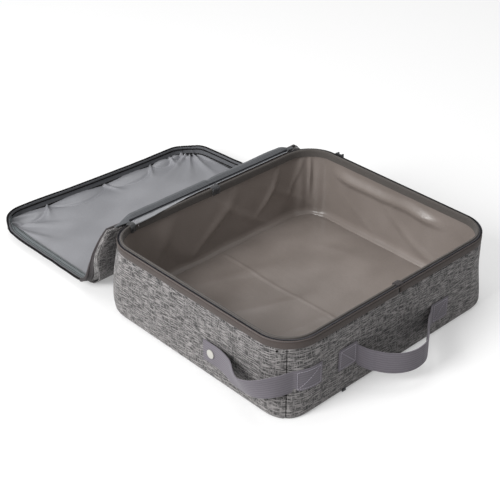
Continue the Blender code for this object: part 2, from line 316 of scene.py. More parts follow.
def new_group(name, inputs, outputs):
    group = bpy.data.node_groups.new(name, "ShaderNodeTree")
    for label, kind, *value in inputs:
        socket = group.interface.new_socket(label, in_out="INPUT", socket_type=kind)
        if value:
            socket.default_value = value[0]
    for label, kind in outputs:
        group.interface.new_socket(label, in_out="OUTPUT", socket_type=kind)
    return group, group.nodes.new("NodeGroupInput").outputs, group.nodes.new("NodeGroupOutput")


def feed(tree, socket, value):
    if isinstance(value, bpy.types.NodeSocket):
        tree.links.new(value, socket)
    else:
        socket.default_value = value


def fill(tree, node, values):
    for label, value in values.items():
        feed(tree, node.inputs[label], value)
    return node


def calc(tree, operation, *values):
    node = tree.nodes.new("ShaderNodeMath")
    node.operation = operation
    for socket, value in zip(node.inputs, values):
        feed(tree, socket, value)
    return node.outputs[0]


def blended(tree, share, first, second):
    node = tree.nodes.new("ShaderNodeMix")
    node.data_type = "RGBA"
    feed(tree, node.inputs["Factor"], share)
    feed(tree, node.inputs[6], first)
    feed(tree, node.inputs[7], second)
    return node.outputs[2]


def stretched(tree, vector, scale):
    node = tree.nodes.new("ShaderNodeVectorMath")
    node.operation = "MULTIPLY"
    feed(tree, node.inputs[0], vector)
    feed(tree, node.inputs[1], scale)
    return node.outputs[0]


def cloudy(tree, vector, scale=1.0, detail=2.0, roughness=0.5):
    node = tree.nodes.new("ShaderNodeTexNoise")
    values = {"Vector": vector, "Scale": scale, "Detail": detail, "Roughness": roughness}
    return fill(tree, node, values).outputs["Fac"]


def between(tree, value, low, high, out_low=0.0, out_high=1.0):
    node = tree.nodes.new("ShaderNodeMapRange")
    node.interpolation_type = "SMOOTHSTEP"
    for socket, number in zip(node.inputs, (value, low, high, out_low, out_high)):
        feed(tree, socket, number)
    return node.outputs[0]


def split(tree, vector):
    node = tree.nodes.new("ShaderNodeSeparateXYZ")
    feed(tree, node.inputs[0], vector)
    return node.outputs


# %% [markdown]
# ### Heather weave
# Heather cloth mixes dark and light yarns. The light ones surface as short dashes, most of
# them along the cloth and fewer across it, so two noises are pulled out in two directions.

# %% Heather weave group
COLOUR, NUMBER, ARROW = "NodeSocketColor", "NodeSocketFloat", "NodeSocketVector"
THREADS_PER_METRE = 900.0
LONG, SHORT, DARK = (72.0, 640.0, 1.0), (600.0, 84.0, 1.0), (110.0, 600.0, 1.0)

tree, given, end = new_group(
    "heather_weave",
    [("Vector", ARROW), ("Dark", COLOUR), ("Middle", COLOUR), ("Light", COLOUR)],
    [("Colour", COLOUR), ("Height", NUMBER)],
)
place = given["Vector"]
long_dashes = cloudy(tree, stretched(tree, place, LONG), 1.0, 2.0, 0.6)
short_dashes = cloudy(tree, stretched(tree, place, SHORT), 1.0, 2.0, 0.6)
dark_dashes = cloudy(tree, stretched(tree, place, DARK), 1.0, 1.0, 0.5)
patches = between(tree, cloudy(tree, place, 38.0, 3.0, 0.6), 0.25, 0.75, 0.82, 1.0)
long_share = between(tree, long_dashes, 0.47, 0.59)
short_share = between(tree, short_dashes, 0.51, 0.62, 0.0, 0.7)
light_share = calc(tree, "MULTIPLY", calc(tree, "MAXIMUM", long_share, short_share), patches)
ground = blended(tree, between(tree, dark_dashes, 0.42, 0.60), given["Dark"], given["Middle"])
threads = fill(
    tree, tree.nodes.new("ShaderNodeTexChecker"), {"Vector": place, "Scale": THREADS_PER_METRE}
)
weave = {
    "Colour": blended(tree, light_share, ground, given["Light"]),
    "Height": calc(tree, "MULTIPLY_ADD", light_share, 0.6, threads.outputs["Fac"]),
}
fill(tree, end, weave)

# %% [markdown]
# ### Ribbed tape
# Webbing and binding tapes have fine ribs along them and finer picks across. Sine waves in
# real sizes give both, and the deep places get painted shade: a darker copy of the same yarn.

# %% Ribbed tape group
tree, given, end = new_group(
    "ribbed_tape",
    [
        ("Vector", ARROW),
        ("Yarn", COLOUR),
        ("Shade", COLOUR),
        ("Rib", NUMBER, 0.0022),
        ("Pick", NUMBER, 0.0011),
    ],
    [("Colour", COLOUR), ("Height", NUMBER)],
)


def wave(place, pitch):
    turns = calc(tree, "DIVIDE", calc(tree, "MULTIPLY", place, 2 * math.pi), pitch)
    return calc(tree, "SINE", turns)


across, along_tape, _ = split(tree, given["Vector"])
ribs = wave(along_tape, given["Rib"])
relief = calc(tree, "MULTIPLY_ADD", wave(across, given["Pick"]), 0.15, ribs)
fuzz = cloudy(tree, given["Vector"], 420.0, 3.0, 0.7)
yarn_depth = calc(tree, "MULTIPLY_ADD", fuzz, 2.2, relief)
# painted shade: the lower the relief of ribs and fuzz, the more of the darker colour
painted_shade_share = between(tree, yarn_depth, 0.0, 2.0, 1.0, 0.0)
tape = {
    "Colour": blended(tree, painted_shade_share, given["Yarn"], given["Shade"]),
    "Height": calc(tree, "MULTIPLY_ADD", fuzz, 0.8, relief),
}
fill(tree, end, tape)

# %% [markdown]
# ### Crinkled film
# Waterproof film is thin and slightly stiff. Besides the large folds in its mesh it has
# small dents and a leathery grain, which break up its soft gloss.

# %% Crinkled film group
BILLOW = 3.0
tree, given, end = new_group(
    "crinkled_film",
    [("Vector", ARROW), ("Base", COLOUR), ("Deep", COLOUR)],
    [("Colour", COLOUR), ("Height", NUMBER), ("Roughness", NUMBER)],
)
place = given["Vector"]
dents = cloudy(tree, place, 55.0, 4.0, 0.55)
grain = cloudy(tree, place, 900.0, 2.0, 0.5)
smears = cloudy(tree, stretched(tree, place, (14.0, 20.0, 14.0)), 1.0, 1.0, 0.4)
billows = cloudy(tree, stretched(tree, place, (15.0, 19.0, 13.0)), 1.0, 2.0, 0.45)
speckled = calc(tree, "MULTIPLY_ADD", calc(tree, "SUBTRACT", grain, 0.5), 0.55, smears)
base_share = between(tree, speckled, 0.20, 0.85)
small = calc(tree, "MULTIPLY_ADD", grain, 0.10, dents)
film = {
    "Colour": blended(tree, base_share, given["Deep"], given["Base"]),
    "Height": calc(tree, "MULTIPLY_ADD", billows, BILLOW, small),
    "Roughness": between(tree, smears, 0.25, 0.80, 0.28, 0.33),
}
fill(tree, end, film)

# %% [markdown]
# ### Dust
# Fabric that stands on floors is a little paler near the ground and where it is handled.

# %% Dust group
tree, given, end = new_group(
    "soft_dust",
    [
        ("Colour", COLOUR),
        ("Dust", COLOUR),
        ("Height over floor", NUMBER, 0.0),
        ("Reach", NUMBER, 0.03),
    ],
    [("Colour", COLOUR)],
)
specks = cloudy(tree, tree.nodes.new("ShaderNodeTexCoord").outputs["Object"], 160.0, 4.0, 0.65)
reached = calc(tree, "DIVIDE", given["Height over floor"], given["Reach"])
low_down = between(tree, reached, 0.0, 1.0, 0.35, 0.0)
share = calc(tree, "MULTIPLY", between(tree, specks, 0.45, 0.70), low_down)
feed(tree, end.inputs["Colour"], blended(tree, share, given["Colour"], given["Dust"]))

# %% [markdown]
# ## Materials
# Each finish of the box is its own material: a Principled shader whose colour and bump
# come from the groups, and whose even values are set on its own sockets.

# %% Build a material around a group


def new_material(name, roughness, sheen=0.0, metallic=0.0):
    material = finishes[name] = bpy.data.materials.new(name)
    material.use_nodes = True
    tree = material.node_tree
    shader = tree.nodes["Principled BSDF"]
    values = {"Roughness": roughness, "Metallic": metallic}
    fill(tree, shader, values | {"Sheen Weight": sheen, "Sheen Roughness": 0.5})
    return tree, shader


def cloth_map(tree):
    node = tree.nodes.new("ShaderNodeUVMap")
    node.uv_map = "cloth"
    return node.outputs["UV"]


def object_map(tree):
    return tree.nodes.new("ShaderNodeTexCoord").outputs["Object"]


def place_group(tree, group, values):
    node = tree.nodes.new("ShaderNodeGroup")
    node.node_tree = bpy.data.node_groups[group]
    return fill(tree, node, values).outputs


def bumped(tree, shader, height, distance, strength):
    node = tree.nodes.new("ShaderNodeBump")
    fill(tree, node, {"Strength": strength, "Distance": distance, "Height": height})
    feed(tree, shader.inputs["Normal"], node.outputs["Normal"])


def grey(value):
    """A grey with the slight warmth of the heather yarn."""
    return (value * 1.06, value, value * 0.99, 1.0)


# %% Heather fabric
LIGHTNESS = 0.77
YARNS = {"Dark": 0.014, "Middle": 0.062, "Light": 0.350}

tree, shader = new_material("heather_fabric", 0.92, sheen=0.25)
yarns = {name: grey(value * LIGHTNESS) for name, value in YARNS.items()}
weave = place_group(tree, "heather_weave", {"Vector": cloth_map(tree)} | yarns)
dusted = {
    "Colour": weave["Colour"],
    "Dust": grey(0.30),
    "Height over floor": split(tree, object_map(tree))["Z"],
}
dust = place_group(tree, "soft_dust", dusted)
feed(tree, shader.inputs["Base Color"], dust["Colour"])
bumped(tree, shader, weave["Height"], 0.0002, 0.7)

# %% Colours of films and tapes
FILMS = {  # base colour, colour of the deep places
    # the tray's film is the lid's kind of film, browner and darker: painted reflection of warm
    # colour and painted shade inside the tray
    "tray_film": ((0.240, 0.208, 0.190), (0.190, 0.163, 0.147)),
    "silver_film": ((0.330, 0.335, 0.350), (0.255, 0.260, 0.275)),
    "lid_film": ((0.270, 0.272, 0.290), (0.215, 0.217, 0.232)),
}
TAPES = {  # yarn, painted shade between the ribs, width of a rib, roughness, width of a pick
    "rim_tape": ((0.068, 0.051, 0.045), (0.034, 0.025, 0.022), 0.0016, 0.80, 0.0010),
    "binding_tape": ((0.090, 0.080, 0.073), (0.044, 0.038, 0.034), 0.0014, 0.80, 0.0010),
    "slate_tape": ((0.112, 0.118, 0.128), (0.060, 0.064, 0.070), 0.0016, 0.80, 0.0010),
    "zip_tape": ((0.120, 0.112, 0.122), (0.066, 0.062, 0.068), 0.0014, 0.80, 0.0010),
    "maroon_tape": ((0.022, 0.014, 0.016), (0.009, 0.006, 0.007), 0.0030, 0.65, 0.0010),
    "band_tape": ((0.135, 0.139, 0.150), (0.078, 0.080, 0.088), 0.0016, 0.80, 0.0010),
    "teal_tape": ((0.190, 0.215, 0.225), (0.120, 0.138, 0.145), 0.0016, 0.50, 0.0010),
    "charcoal_tape": ((0.036, 0.037, 0.041), (0.016, 0.016, 0.018), 0.0014, 0.65, 0.0010),
    "webbing": ((0.152, 0.139, 0.160), (0.118, 0.107, 0.125), 0.0034, 0.85, 0.0016),
}

# %% Films
for name, (base, deep) in FILMS.items():
    tree, shader = new_material(name, 0.40)
    values = {"Vector": object_map(tree), "Base": (*base, 1.0), "Deep": (*deep, 1.0)}
    film = place_group(tree, "crinkled_film", values)
    fill(tree, shader, {"Base Color": film["Colour"], "Roughness": film["Roughness"]})
    bumped(tree, shader, film["Height"], 0.0012, 0.5)

# %% Tapes
# each tape's second colour is painted shade for the grooves between its ribs
for name, (yarn, painted_shade, rib, roughness, pick) in TAPES.items():
    tree, shader = new_material(name, roughness, sheen=0.15)
    values = {"Vector": cloth_map(tree), "Yarn": (*yarn, 1.0), "Shade": (*painted_shade, 1.0)}
    tape = place_group(tree, "ribbed_tape", values | {"Rib": rib, "Pick": pick})
    feed(tree, shader.inputs["Base Color"], tape["Colour"])
    bumped(tree, shader, tape["Height"], 0.0002, 0.6)

# %% Zip, thread and metal
PLAIN = {  # colour, roughness, metallic, speckle, shine
    "zip_nylon": ((0.012, 0.012, 0.016), 0.45, 0.0, 0.15, 0.2),
    "dark_thread": ((0.010, 0.009, 0.009), 0.80, 0.0, 0.15, 0.1),
    "pale_thread": ((0.370, 0.345, 0.390), 0.70, 0.0, 0.15, 0.5),
    "piping_brown": ((0.105, 0.084, 0.076), 0.70, 0.0, 0.15, 0.5),
    "cap_lacquer": ((0.480, 0.468, 0.435), 0.30, 0.0, 0.10, 0.5),
    "snap_steel": ((0.560, 0.560, 0.570), 0.32, 1.0, 0.10, 0.5),
    "slider_metal": ((0.070, 0.070, 0.076), 0.40, 0.7, 0.15, 0.5),
    "floor_board": ((0.100, 0.100, 0.100), 0.80, 0.0, 0.15, 0.5),
}
for name, (colour, roughness, metallic, speckle, shine) in PLAIN.items():
    tree, shader = new_material(name, roughness, metallic=metallic)
    grain = cloudy(tree, object_map(tree), 700.0, 3.0, 0.6)
    darker = (*(c * (1 - speckle) for c in colour), 1.0)
    rubbed = between(tree, grain, 0.3, 0.7, roughness * 0.85, min(roughness * 1.15, 1.0))
    values = {"Base Color": blended(tree, grain, darker, (*colour, 1.0)), "Roughness": rubbed}
    fill(tree, shader, values | {"Specular IOR Level": shine})
    bumped(tree, shader, grain, 0.0001, 0.3)
print("materials", len(bpy.data.materials))

# %% [markdown]
# ## Outer fabric
# The wall is one long strip of heather cloth. Foam behind it keeps it nearly flat, so it
# only swells a little at the back, pinches at the four corner seams and rolls in at its foot.

# %% How the outer fabric lies
FABRIC = 0.0012
FOOT_ROLL, FOOT_HIGH = 0.0026, 0.006
SWELL, REAR_FROM, REAR_TO = 0.0032, -0.02, 0.07
SEAM_REACH, SEAM_DEPTH = 0.0035, 0.0014
CREASE_AT, CREASE_OUT, CREASE_REACH = 1.0305, 0.0008, 0.004
CREASE_LOW, CREASE_HIGH = 0.02, 0.06
FOOT_CORNER, FOOT_CORNER_TOP = 0.0060, 0.075
FULL_CORNER = 0.0035
TUCK, TUCK_DEPTH = 0.0012, 0.004
UNEVEN, UNEVEN_SIZE = 0.0007, 0.045
UNDER_BAND = 0.0006


def swell(distance, height):
    """How far the wall's fabric stands out from its flat outline."""
    point, _ = walk(distance)
    rear = smooth(point.y, REAR_FROM, REAR_TO)
    share = unit(height / wall_top)
    out = SWELL * rear * arch(share**0.8)
    out += UNEVEN * (0.3 + rear) * rough(distance, height, 3.0, UNEVEN_SIZE) * arch(share)
    crease_here = hump(distance, CREASE_AT, CREASE_REACH)
    out += CREASE_OUT * crease_here * smooth(height, CREASE_LOW, CREASE_HIGH)
    low_down = 1 - smooth(height, 0.0, FOOT_CORNER_TOP)
    for middle in corner_middles:
        away = nearness(distance, middle)
        out += FOOT_CORNER * hump(away, 0.0, quarter / 2) * low_down
        out -= SEAM_DEPTH * hump(away, 0.0, SEAM_REACH)
    full = hump(nearness(distance, corner_middles[2]), 0.0, quarter * 0.6)
    out += FULL_CORNER * full * arch(share)
    out -= TUCK * smooth(height, band_low - TUCK_DEPTH, band_low)
    out -= FOOT_ROLL * (1 - smooth(height, 0.0, FOOT_HIGH)) ** 2
    return out


def wall_fabric_place(across, up):
    distance, height = across * girth, up * (wall_top + UNDER_BAND)
    return on_outline(distance, swell(distance, height), height)


def rounded(x, y, half_x, half_y, radius):
    """Moves the points of a rectangle so that its corners become round."""
    over_x, over_y = abs(x) - (half_x - radius), abs(y) - (half_y - radius)
    if over_x > 0 and over_y > 0:
        reach = max(over_x, over_y) / math.hypot(over_x, over_y)
        x = math.copysign(half_x - radius + over_x * reach, x)
        y = math.copysign(half_y - radius + over_y * reach, y)
    return x, y


def on_floor(across, up, inset):
    """A point of a rounded floor sheet, and the half sizes of that sheet."""
    half_x, half_y = half_width - inset, half_depth - inset
    x, y = (2 * across - 1) * half_x, (2 * up - 1) * half_y
    return *rounded(x, y, half_x, half_y, corner_radius - inset), half_x, half_y


def floor_fabric_place(across, up):
    x, y, _, _ = on_floor(across, up, FOOT_ROLL)
    return Vector((x, y, FABRIC))


# %% Wall and floor fabric
HEATHER = ("heather_fabric", "heather_fabric")
wall_size, floor_size = (girth, wall_top), (2 * half_width, 2 * half_depth)
outer_solids = ("wall_cover", "wall_pad", "corner_pad")
covers = [name for name in nodes if name.startswith(outer_solids)]
wall_fabric = cloth(
    "wall_fabric", (560, 36), wall_size, wall_fabric_place, FABRIC, (*HEATHER, "base"), covers,
    closed=True,
)
cloth(
    "floor_fabric", (60, 52), floor_size, floor_fabric_place, FABRIC, (*HEATHER, "base"),
    ("floor_cover",),
)
print("wall fabric", len(wall_fabric.data.polygons), "faces")

# %% [markdown]
# ## Lining
# The film inside hangs from the rim and isn't glued to the wall. It falls in broad soft
# folds, has one long crease near the top of the right wall, and gathers at the floor.

# %% How the lining hangs
FILM, FILM_CLEAR = 0.0005, 0.0008
film_inset = half_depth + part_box("wall_lining_front")[0].y + FILM_CLEAR
FILM_TOP = wall_top + 0.0045
FILLET = 0.012
BROAD_FOLD, BROAD_SIZE = 0.0030, 0.055
HANGING_FOLDS = (  # depth, lean, seed, size
    (0.0034, 0.5, 23.0, 0.085),
    (0.0026, -0.9, 31.0, 0.12),
)
CREST_HEIGHT, CREST_DEPTH, CREST_REACH = 0.085, 0.0078, 0.013
CREST_WAVE, CREST_WAVE_SIZE = 0.005, 0.06
CREST_STARTS, CREST_ENDS = (0.25, 0.30), (0.44, 0.48)
PLEAT, PLEAT_AT, PLEAT_REACH = 0.0020, 0.016, 0.012
CORNER_PINCH, PINCH_REACH = 0.0052, 0.0045
PINCH_OVER_FLOOR, PINCH_UNDER_TOP = 0.02, 0.03
FLOOR_GAP, FLOOR_CLEAR, CALM_EDGE = 0.0004, 0.002, 0.02
FLOOR_SWELL, FLOOR_SWELL_SIZE = 0.0012, 0.085
ALONG_CREASE, ALONG_SIZE, CROSS_CREASE, CROSS_SIZE = 0.0011, 0.11, 0.0010, 0.15
MIDDLE_CREASE, MIDDLE_REACH, MIDDLE_SWAY, SWAY_SIZE = 0.0012, 0.004, 0.0015, 0.03


def film_fold(distance, height):
    """How far the lining stands away from the wall, into the tray."""
    hang = arch(unit(height / FILM_TOP)) ** 0.7
    folds = BROAD_FOLD * (0.6 + rough(distance, height * 0.35, 11.0, BROAD_SIZE))
    for depth, lean, seed, size in HANGING_FOLDS:
        folds += depth * crease(distance + height * lean, height, seed, size)
    on_right = smooth(distance, *CREST_STARTS) * (1 - smooth(distance, *CREST_ENDS))
    crest = CREST_HEIGHT + CREST_WAVE * rough(distance, 0.0, 37.0, CREST_WAVE_SIZE)
    folds += CREST_DEPTH * on_right * hump(height, crest, CREST_REACH)
    upper = smooth(height, floor_top + PINCH_OVER_FLOOR, FILM_TOP - PINCH_UNDER_TOP)
    for middle in corner_middles:
        away = nearness(distance, middle)
        folds += PLEAT * hump(away, PLEAT_AT, PLEAT_REACH)
        folds += CORNER_PINCH * hump(away, 0.0, PINCH_REACH) * upper
    return max(folds * hang, 0.0)


def wall_film_place(across, up):
    distance = (1 - across) * girth
    height = floor_top + up * (FILM_TOP - floor_top)
    inset = film_inset + film_fold(distance, height)
    over_floor = height - floor_top
    if over_floor < FILLET:
        turn = 1 - over_floor / FILLET
        inset += FILLET * (1 - math.sqrt(max(1 - turn * turn, 0.0))) * 0.8
    return on_outline(distance, -inset, height)


def floor_film_place(across, up):
    x, y, half_x, half_y = on_floor(across, up, film_inset + FLOOR_CLEAR)
    calm = smooth(min(half_x - abs(x), half_y - abs(y)), 0.0, CALM_EDGE)
    lift = FLOOR_SWELL * (rough(x, y, 41.0, FLOOR_SWELL_SIZE) + 1.0) * calm
    lift += ALONG_CREASE * crease(x, y, 47.0, ALONG_SIZE) * calm
    lift += CROSS_CREASE * crease(y * 1.6, x, 53.0, CROSS_SIZE) * calm
    sway = MIDDLE_SWAY * math.sin(y / SWAY_SIZE)
    lift += MIDDLE_CREASE * hump(abs(x + sway), 0.0, MIDDLE_REACH) * calm
    return Vector((x, y, floor_top + FLOOR_GAP + lift))


# %% Wall lining and floor lining
# the lining's film colour holds painted reflection and painted shade
TRAY_FILM = ("tray_film", "lining_film", "base")
linings = [name for name in nodes if name.startswith("wall_lining")]
wall_film = cloth(
    "wall_film", (520, 40), (girth, FILM_TOP), wall_film_place, FILM, TRAY_FILM, linings,
    closed=True,
)
cloth(
    "floor_film", (150, 132), floor_size, floor_film_place, FILM, TRAY_FILM, ("floor_lining",)
)
coat(nodes["floor_board"], "floor_board")

# %% [markdown]
# ## Rim
# From outside in, the rim is a brown grey tape, a zip coil on its own dark tape, and a
# binding that folds over the edge. Tape and binding come in two halves, which leaves a
# notch at the middle of the front and of the back, where the tray folds.

# %% Rim tapes
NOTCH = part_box("rim_band_right")[0].x
RIPPLE, RIPPLE_SIZE = 0.0003, 0.018
END_PINCH, END_RUN = 0.0010, 0.006
BINDING_DROP = 0.0105
TAPE, THIN_TAPE, FINE_TAPE = 0.0010, 0.0008, 0.0006
half_girth = girth / 2
rim_parts = {
    "left": (half_girth + NOTCH, girth - NOTCH),
    "right": (NOTCH, half_girth - NOTCH),
}


def rim_strip(name, side, profile, rows, thickness, seed, finish, slot, stands_for, **more):
    first, last = rim_parts[side]

    def place(across, up):
        distance = first + across * (last - first)
        outward, height = along(profile, up)
        ripple = RIPPLE * rough(distance, height, seed, RIPPLE_SIZE)
        end_gap = min(distance - first, last - distance)
        pinch = END_PINCH * (1 - smooth(end_gap, 0.0, END_RUN))
        return on_outline(distance, outward + ripple - pinch, height)

    size, look = (last - first, sum(spans_of(profile))), (finish, slot, "rim")
    cloth(f"{name}_{side}", (220, rows), size, place, thickness, look, stands_for, **more)


band_profile = [
    (-0.0008, band_low - 0.0008),
    (0.0000, band_low),
    (0.0002, band_low + 0.005),
    (0.0000, band_high - 0.0016),
    (-0.0009, band_high - 0.0004),
    (-0.0022, band_high),
]
binding_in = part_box("rim_binding_left")[0].x + half_width
binding_profile = [
    (-binding_in + 0.0004, rim_top - 0.0018),
    (-binding_in, rim_top - 0.0004),
    (-binding_in - 0.0006, rim_top),
    (-binding_in - 0.0014, rim_top - 0.0006),
    (-binding_in - 0.0019, rim_top - 0.002),
    (-binding_in - 0.0021, rim_top - BINDING_DROP),
    (-binding_in - 0.0014, rim_top - BINDING_DROP - 0.0006),
]
for side in rim_parts:
    band_nodes = (f"rim_band_{side}", f"rim_core_{side}")
    rim_strip(
        "rim_tape", side, band_profile, 10, TAPE, 61.0, "rim_tape", "rim_tape", band_nodes
    )
    rim_strip(
        "rim_edging", side, binding_profile, 14, THIN_TAPE, 67.0, "binding_tape",
        "rim_binding", (f"rim_binding_{side}",), offset=1,
    )
PIPING, PIPING_IN, PIPING_UP, PIPING_STEPS = 0.0008, 0.0007, 0.0009, 360
piping_line = [
    on_outline(girth * step / PIPING_STEPS, -PIPING_IN, band_high + PIPING_UP)
    for step in range(PIPING_STEPS)
]
wire("rim_piping", piping_line, PIPING, ("piping_brown", "rim_tape", "rim"), closed=True)
print("rim tapes run from", band_low, "to", rim_top)

# %% [markdown]
# ### Zip coil
# A nylon zip is a coil of monofilament sewn to a tape. The coil really is a coil here: one
# long helix, squashed a little, that follows the front, both sides and the back corners.

# %% Zip coil and its tape
COIL_PITCH = 0.0016
COIL_STEPS = 8
COIL_THREAD = 0.0004
COIL_FLAT = 0.8
COIL_GAP = 0.0003
zip_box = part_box("rim_zip")
coil_radius = (zip_box[1].z - zip_box[0].z) / 2
coil_start = half_girth + side_x / 2
coil_length = girth - side_x


def coil(name, line, length, body, stands_for=()):
    """A helix round a line; line gives a point and two directions across it."""
    radius = coil_radius - COIL_THREAD
    points = []
    for step in range(int(length / COIL_PITCH) * COIL_STEPS):
        centre, outward, upward = line(step / COIL_STEPS * COIL_PITCH)
        turn = 2 * math.pi * step / COIL_STEPS
        sideways = outward * radius * math.cos(turn)
        points.append(centre + sideways + upward * radius * COIL_FLAT * math.sin(turn))
    wire(name, points, COIL_THREAD, ("zip_nylon", "zip", body), stands_for, sides=0)


def rim_line(distance):
    point, out = walk(coil_start + distance)
    centre = point - out * (coil_radius + COIL_GAP) + Vector((0, 0, rim_top - coil_radius))
    return centre, out, Vector((0, 0, 1))


def zip_tape_place(across, up):
    outward, height = along(zip_tape_profile, up)
    return on_outline(across * girth, outward, height)


zip_tape_profile = [
    (-0.0004, rim_top - 0.0026),
    (-0.0030, rim_top - 0.0022),
    (-binding_in - 0.0002, rim_top - 0.0014),
]
coil("rim_coil", rim_line, coil_length, "rim", ("rim_zip",))
cloth(
    "rim_zip_tape", (420, 4), (girth, binding_in), zip_tape_place, FINE_TAPE,
    ("zip_tape", "zip", "rim"), closed=True,
)

# %% [markdown]
# ## The lid's shape
# The open lid leaves the rim in a soft roll, drops behind the tray in an S and then lies
# on the floor. Near and far part share one profile and meet exactly on the fold, so one
# function gives the profile and every layer of the lid is set off from it.

# %% Lid profile
ROLL_END = Vector((0.0, hinge.y + 0.0093, hinge.z - 0.0077))
FOLD_MEET = Vector((0.0, fold.y + 0.0012, fold.z + 0.0022))
SAG_FROM, SAG_TO = Vector((0, 0.0040, -0.0450)), Vector((0, -0.0300, 0.0190))
SAG_STARTS, SAG_FULL = 0.040, 0.170
SETTLE, SETTLE_RUN = 0.0022, 0.012
TILT, TILT_RUN = 0.55, 0.010
SAMPLE = 0.01
near_length = math.dist((hinge.y, hinge.z), (fold.y, fold.z))
far_length = lid_end - fold.y
lid_layers_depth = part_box("lid_far_lining")[1].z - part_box("lid_far_cover")[1].z


def near_line(share, x):
    """A point of the near part's film and the direction that its film side faces.

    The cloth hangs straight in the middle and sags in an S towards its two ends."""
    a, d = ROLL_END, FOLD_MEET
    sag = smooth(abs(x), SAG_STARTS, SAG_FULL)
    b = (a + (d - a) / 3).lerp(a + SAG_FROM, sag)
    c = (d - (d - a) / 3).lerp(d + SAG_TO, sag)
    point = bezier(a, b, c, d, share)
    after, before = unit(share + SAMPLE), unit(share - SAMPLE)
    ahead = bezier(a, b, c, d, after) - bezier(a, b, c, d, before)
    ahead.normalize()
    return point, Vector((0, -ahead.z, ahead.y))


def far_line(distance):
    """The same for the far part, at a distance from the fold."""
    settle = SETTLE * (1 - smooth(distance, 0.0, SETTLE_RUN)) ** 2
    tilt = -TILT * (1 - smooth(distance, 0.0, TILT_RUN))
    reach = FOLD_MEET.y - fold.y
    y = fold.y + reach + distance * (far_length - reach) / far_length
    return Vector((0, y, fold.z + settle)), Vector((0, -math.sin(tilt), math.cos(tilt)))


def near_half_width(distance):
    if distance >= corner_radius:
        return half_width
    over = corner_radius - distance
    return half_width - corner_radius + math.sqrt(corner_radius**2 - over**2)


print("near part", round(near_length, 4), "far part", round(far_length, 4))

# %% Hinge roll
roll_profile = [
    (hinge.y - 0.0028, hinge.z - 0.0014),
    (hinge.y + 0.0010, hinge.z + 0.0016),
    (hinge.y + 0.0050, hinge.z + 0.0046),
    (hinge.y + 0.0092, hinge.z + 0.0046),
    (hinge.y + 0.0118, hinge.z + 0.0018),
    (hinge.y + 0.0116, hinge.z - 0.0034),
    (ROLL_END.y, ROLL_END.z),
]
straight = half_width - corner_radius
ROLL_LENGTH, ROLL_OVER, ROLL_TAPER = 0.024, 0.020, 0.010
ROLL_ROUGH, ROLL_ROUGH_SIZE = 0.0010, 0.03
KNOT_REACH, KNOT_CREASE, KNOT_CREASE_SIZE, KNOT_DIP = 0.009, 0.0022, 0.004, 0.0016
END_BACK, END_RISE = 0.0012, 0.0030
ROLL_BEND = ((0, hinge.y - 0.001, hinge.z), (0, ROLL_END.y, hinge.z))


def roll_place(across, up):
    x = (2 * across - 1) * (straight + ROLL_OVER)
    y, z = along(roll_profile, up)
    middle = arch(up)
    knot = hump(x, 0.0, KNOT_REACH)
    creased = KNOT_CREASE * crease(x, 0.4 * y, 73.0, KNOT_CREASE_SIZE)
    z += middle * ROLL_ROUGH * rough(x, y, 71.0, ROLL_ROUGH_SIZE)
    z += middle * knot * (creased - KNOT_DIP)
    low_end = smooth(abs(x), straight - ROLL_TAPER, straight + ROLL_OVER)
    y += (ROLL_END.y - END_BACK - y) * low_end * 0.7
    z += (ROLL_END.z + END_RISE * (1 - up) - z) * low_end * 0.85
    return Vector((x, y, z))


roll_look = ("slate_tape", "hinge_tape", ("rim", "lid_hinge_seam", *ROLL_BEND))
roll_size = (2 * straight, ROLL_LENGTH)
cloth("hinge_roll", (170, 20), roll_size, roll_place, TAPE, roll_look, ("hinge_band",))
coat(nodes["lid_hinge_cord"], "zip_nylon")

# %% Near part of the lid
FIRST = 0.011
SLUMP_TURN = math.radians(72)
NEAR_SLUMP_FROM, NEAR_SLUMP_TO = 0.085, 0.012
HINGE_EDGE, FOLD_EDGE = 0.0016, 0.0005
LOOSE, LOOSE_SIZE, LOOSE_CREASE_SIZE = 0.0010, 0.05, 0.08
LID_FILM = 0.0006


def near_slump(side, down):
    """How far the skirt has fallen outward near the fold: only the left one has."""
    if side > 0:
        return 0.0
    return smooth(down, near_length - NEAR_SLUMP_FROM, near_length - NEAR_SLUMP_TO)


def near_height(down):
    slope = math.asin((skirt_height - FOLD_EDGE) / near_length)
    return HINGE_EDGE + down * math.tan(slope)


def near_place(depth, inset):
    def place(across, up):
        down = FIRST + up * (near_length - FIRST)
        point, out = near_line(up, (2 * across - 1) * near_half_width(down))
        side = math.copysign(1.0, across - 0.5)
        fallen = math.sin(near_slump(side, down) * SLUMP_TURN) * near_height(down)
        half = near_half_width(down) - inset
        x = (2 * across - 1) * half
        x -= side * fallen * abs(x) / half
        loose = arch(up) * LOOSE * rough(x, up * near_length, 83.0, LOOSE_SIZE)
        loose += arch(up) * LOOSE * crease(x, up * near_length, 89.0, LOOSE_CREASE_SIZE)
        return Vector((x, point.y, point.z)) + out * (loose - depth)

    return place


near_size = (2 * half_width, near_length)
cloth(
    "lid_near_film", (90, 36), near_size, near_place(0.0, 0.003), LID_FILM,
    ("lid_film", "lid_lining_film", "lid_near"), ("lid_near_lining", "lid_near_pad"),
)
cloth(
    "lid_near_fabric", (90, 36), near_size, near_place(lid_layers_depth, 0.0), FABRIC,
    (*HEATHER, "lid_near"), ("lid_near_cover",),
)
print("near part", round(near_length, 4), "m from hinge to fold")

# %% [markdown]
# ### Side skirts of the near part
# A skirt runs down each side of the lid. It is low at the hinge and reaches its full
# height at the fold: heather below, the dark tape of the zip above and a dark edging
# inside. A skirt stands at a right angle to the lid until it slumps outward.

# %% How the near skirts stand
near_side = quarter + near_length - corner_radius
ZIP_TAPE, NEAR_EDGING = 0.0065, 0.006
TAPE_FROM = 0.40
SIDES = ((-1, "left"), (1, "right"))


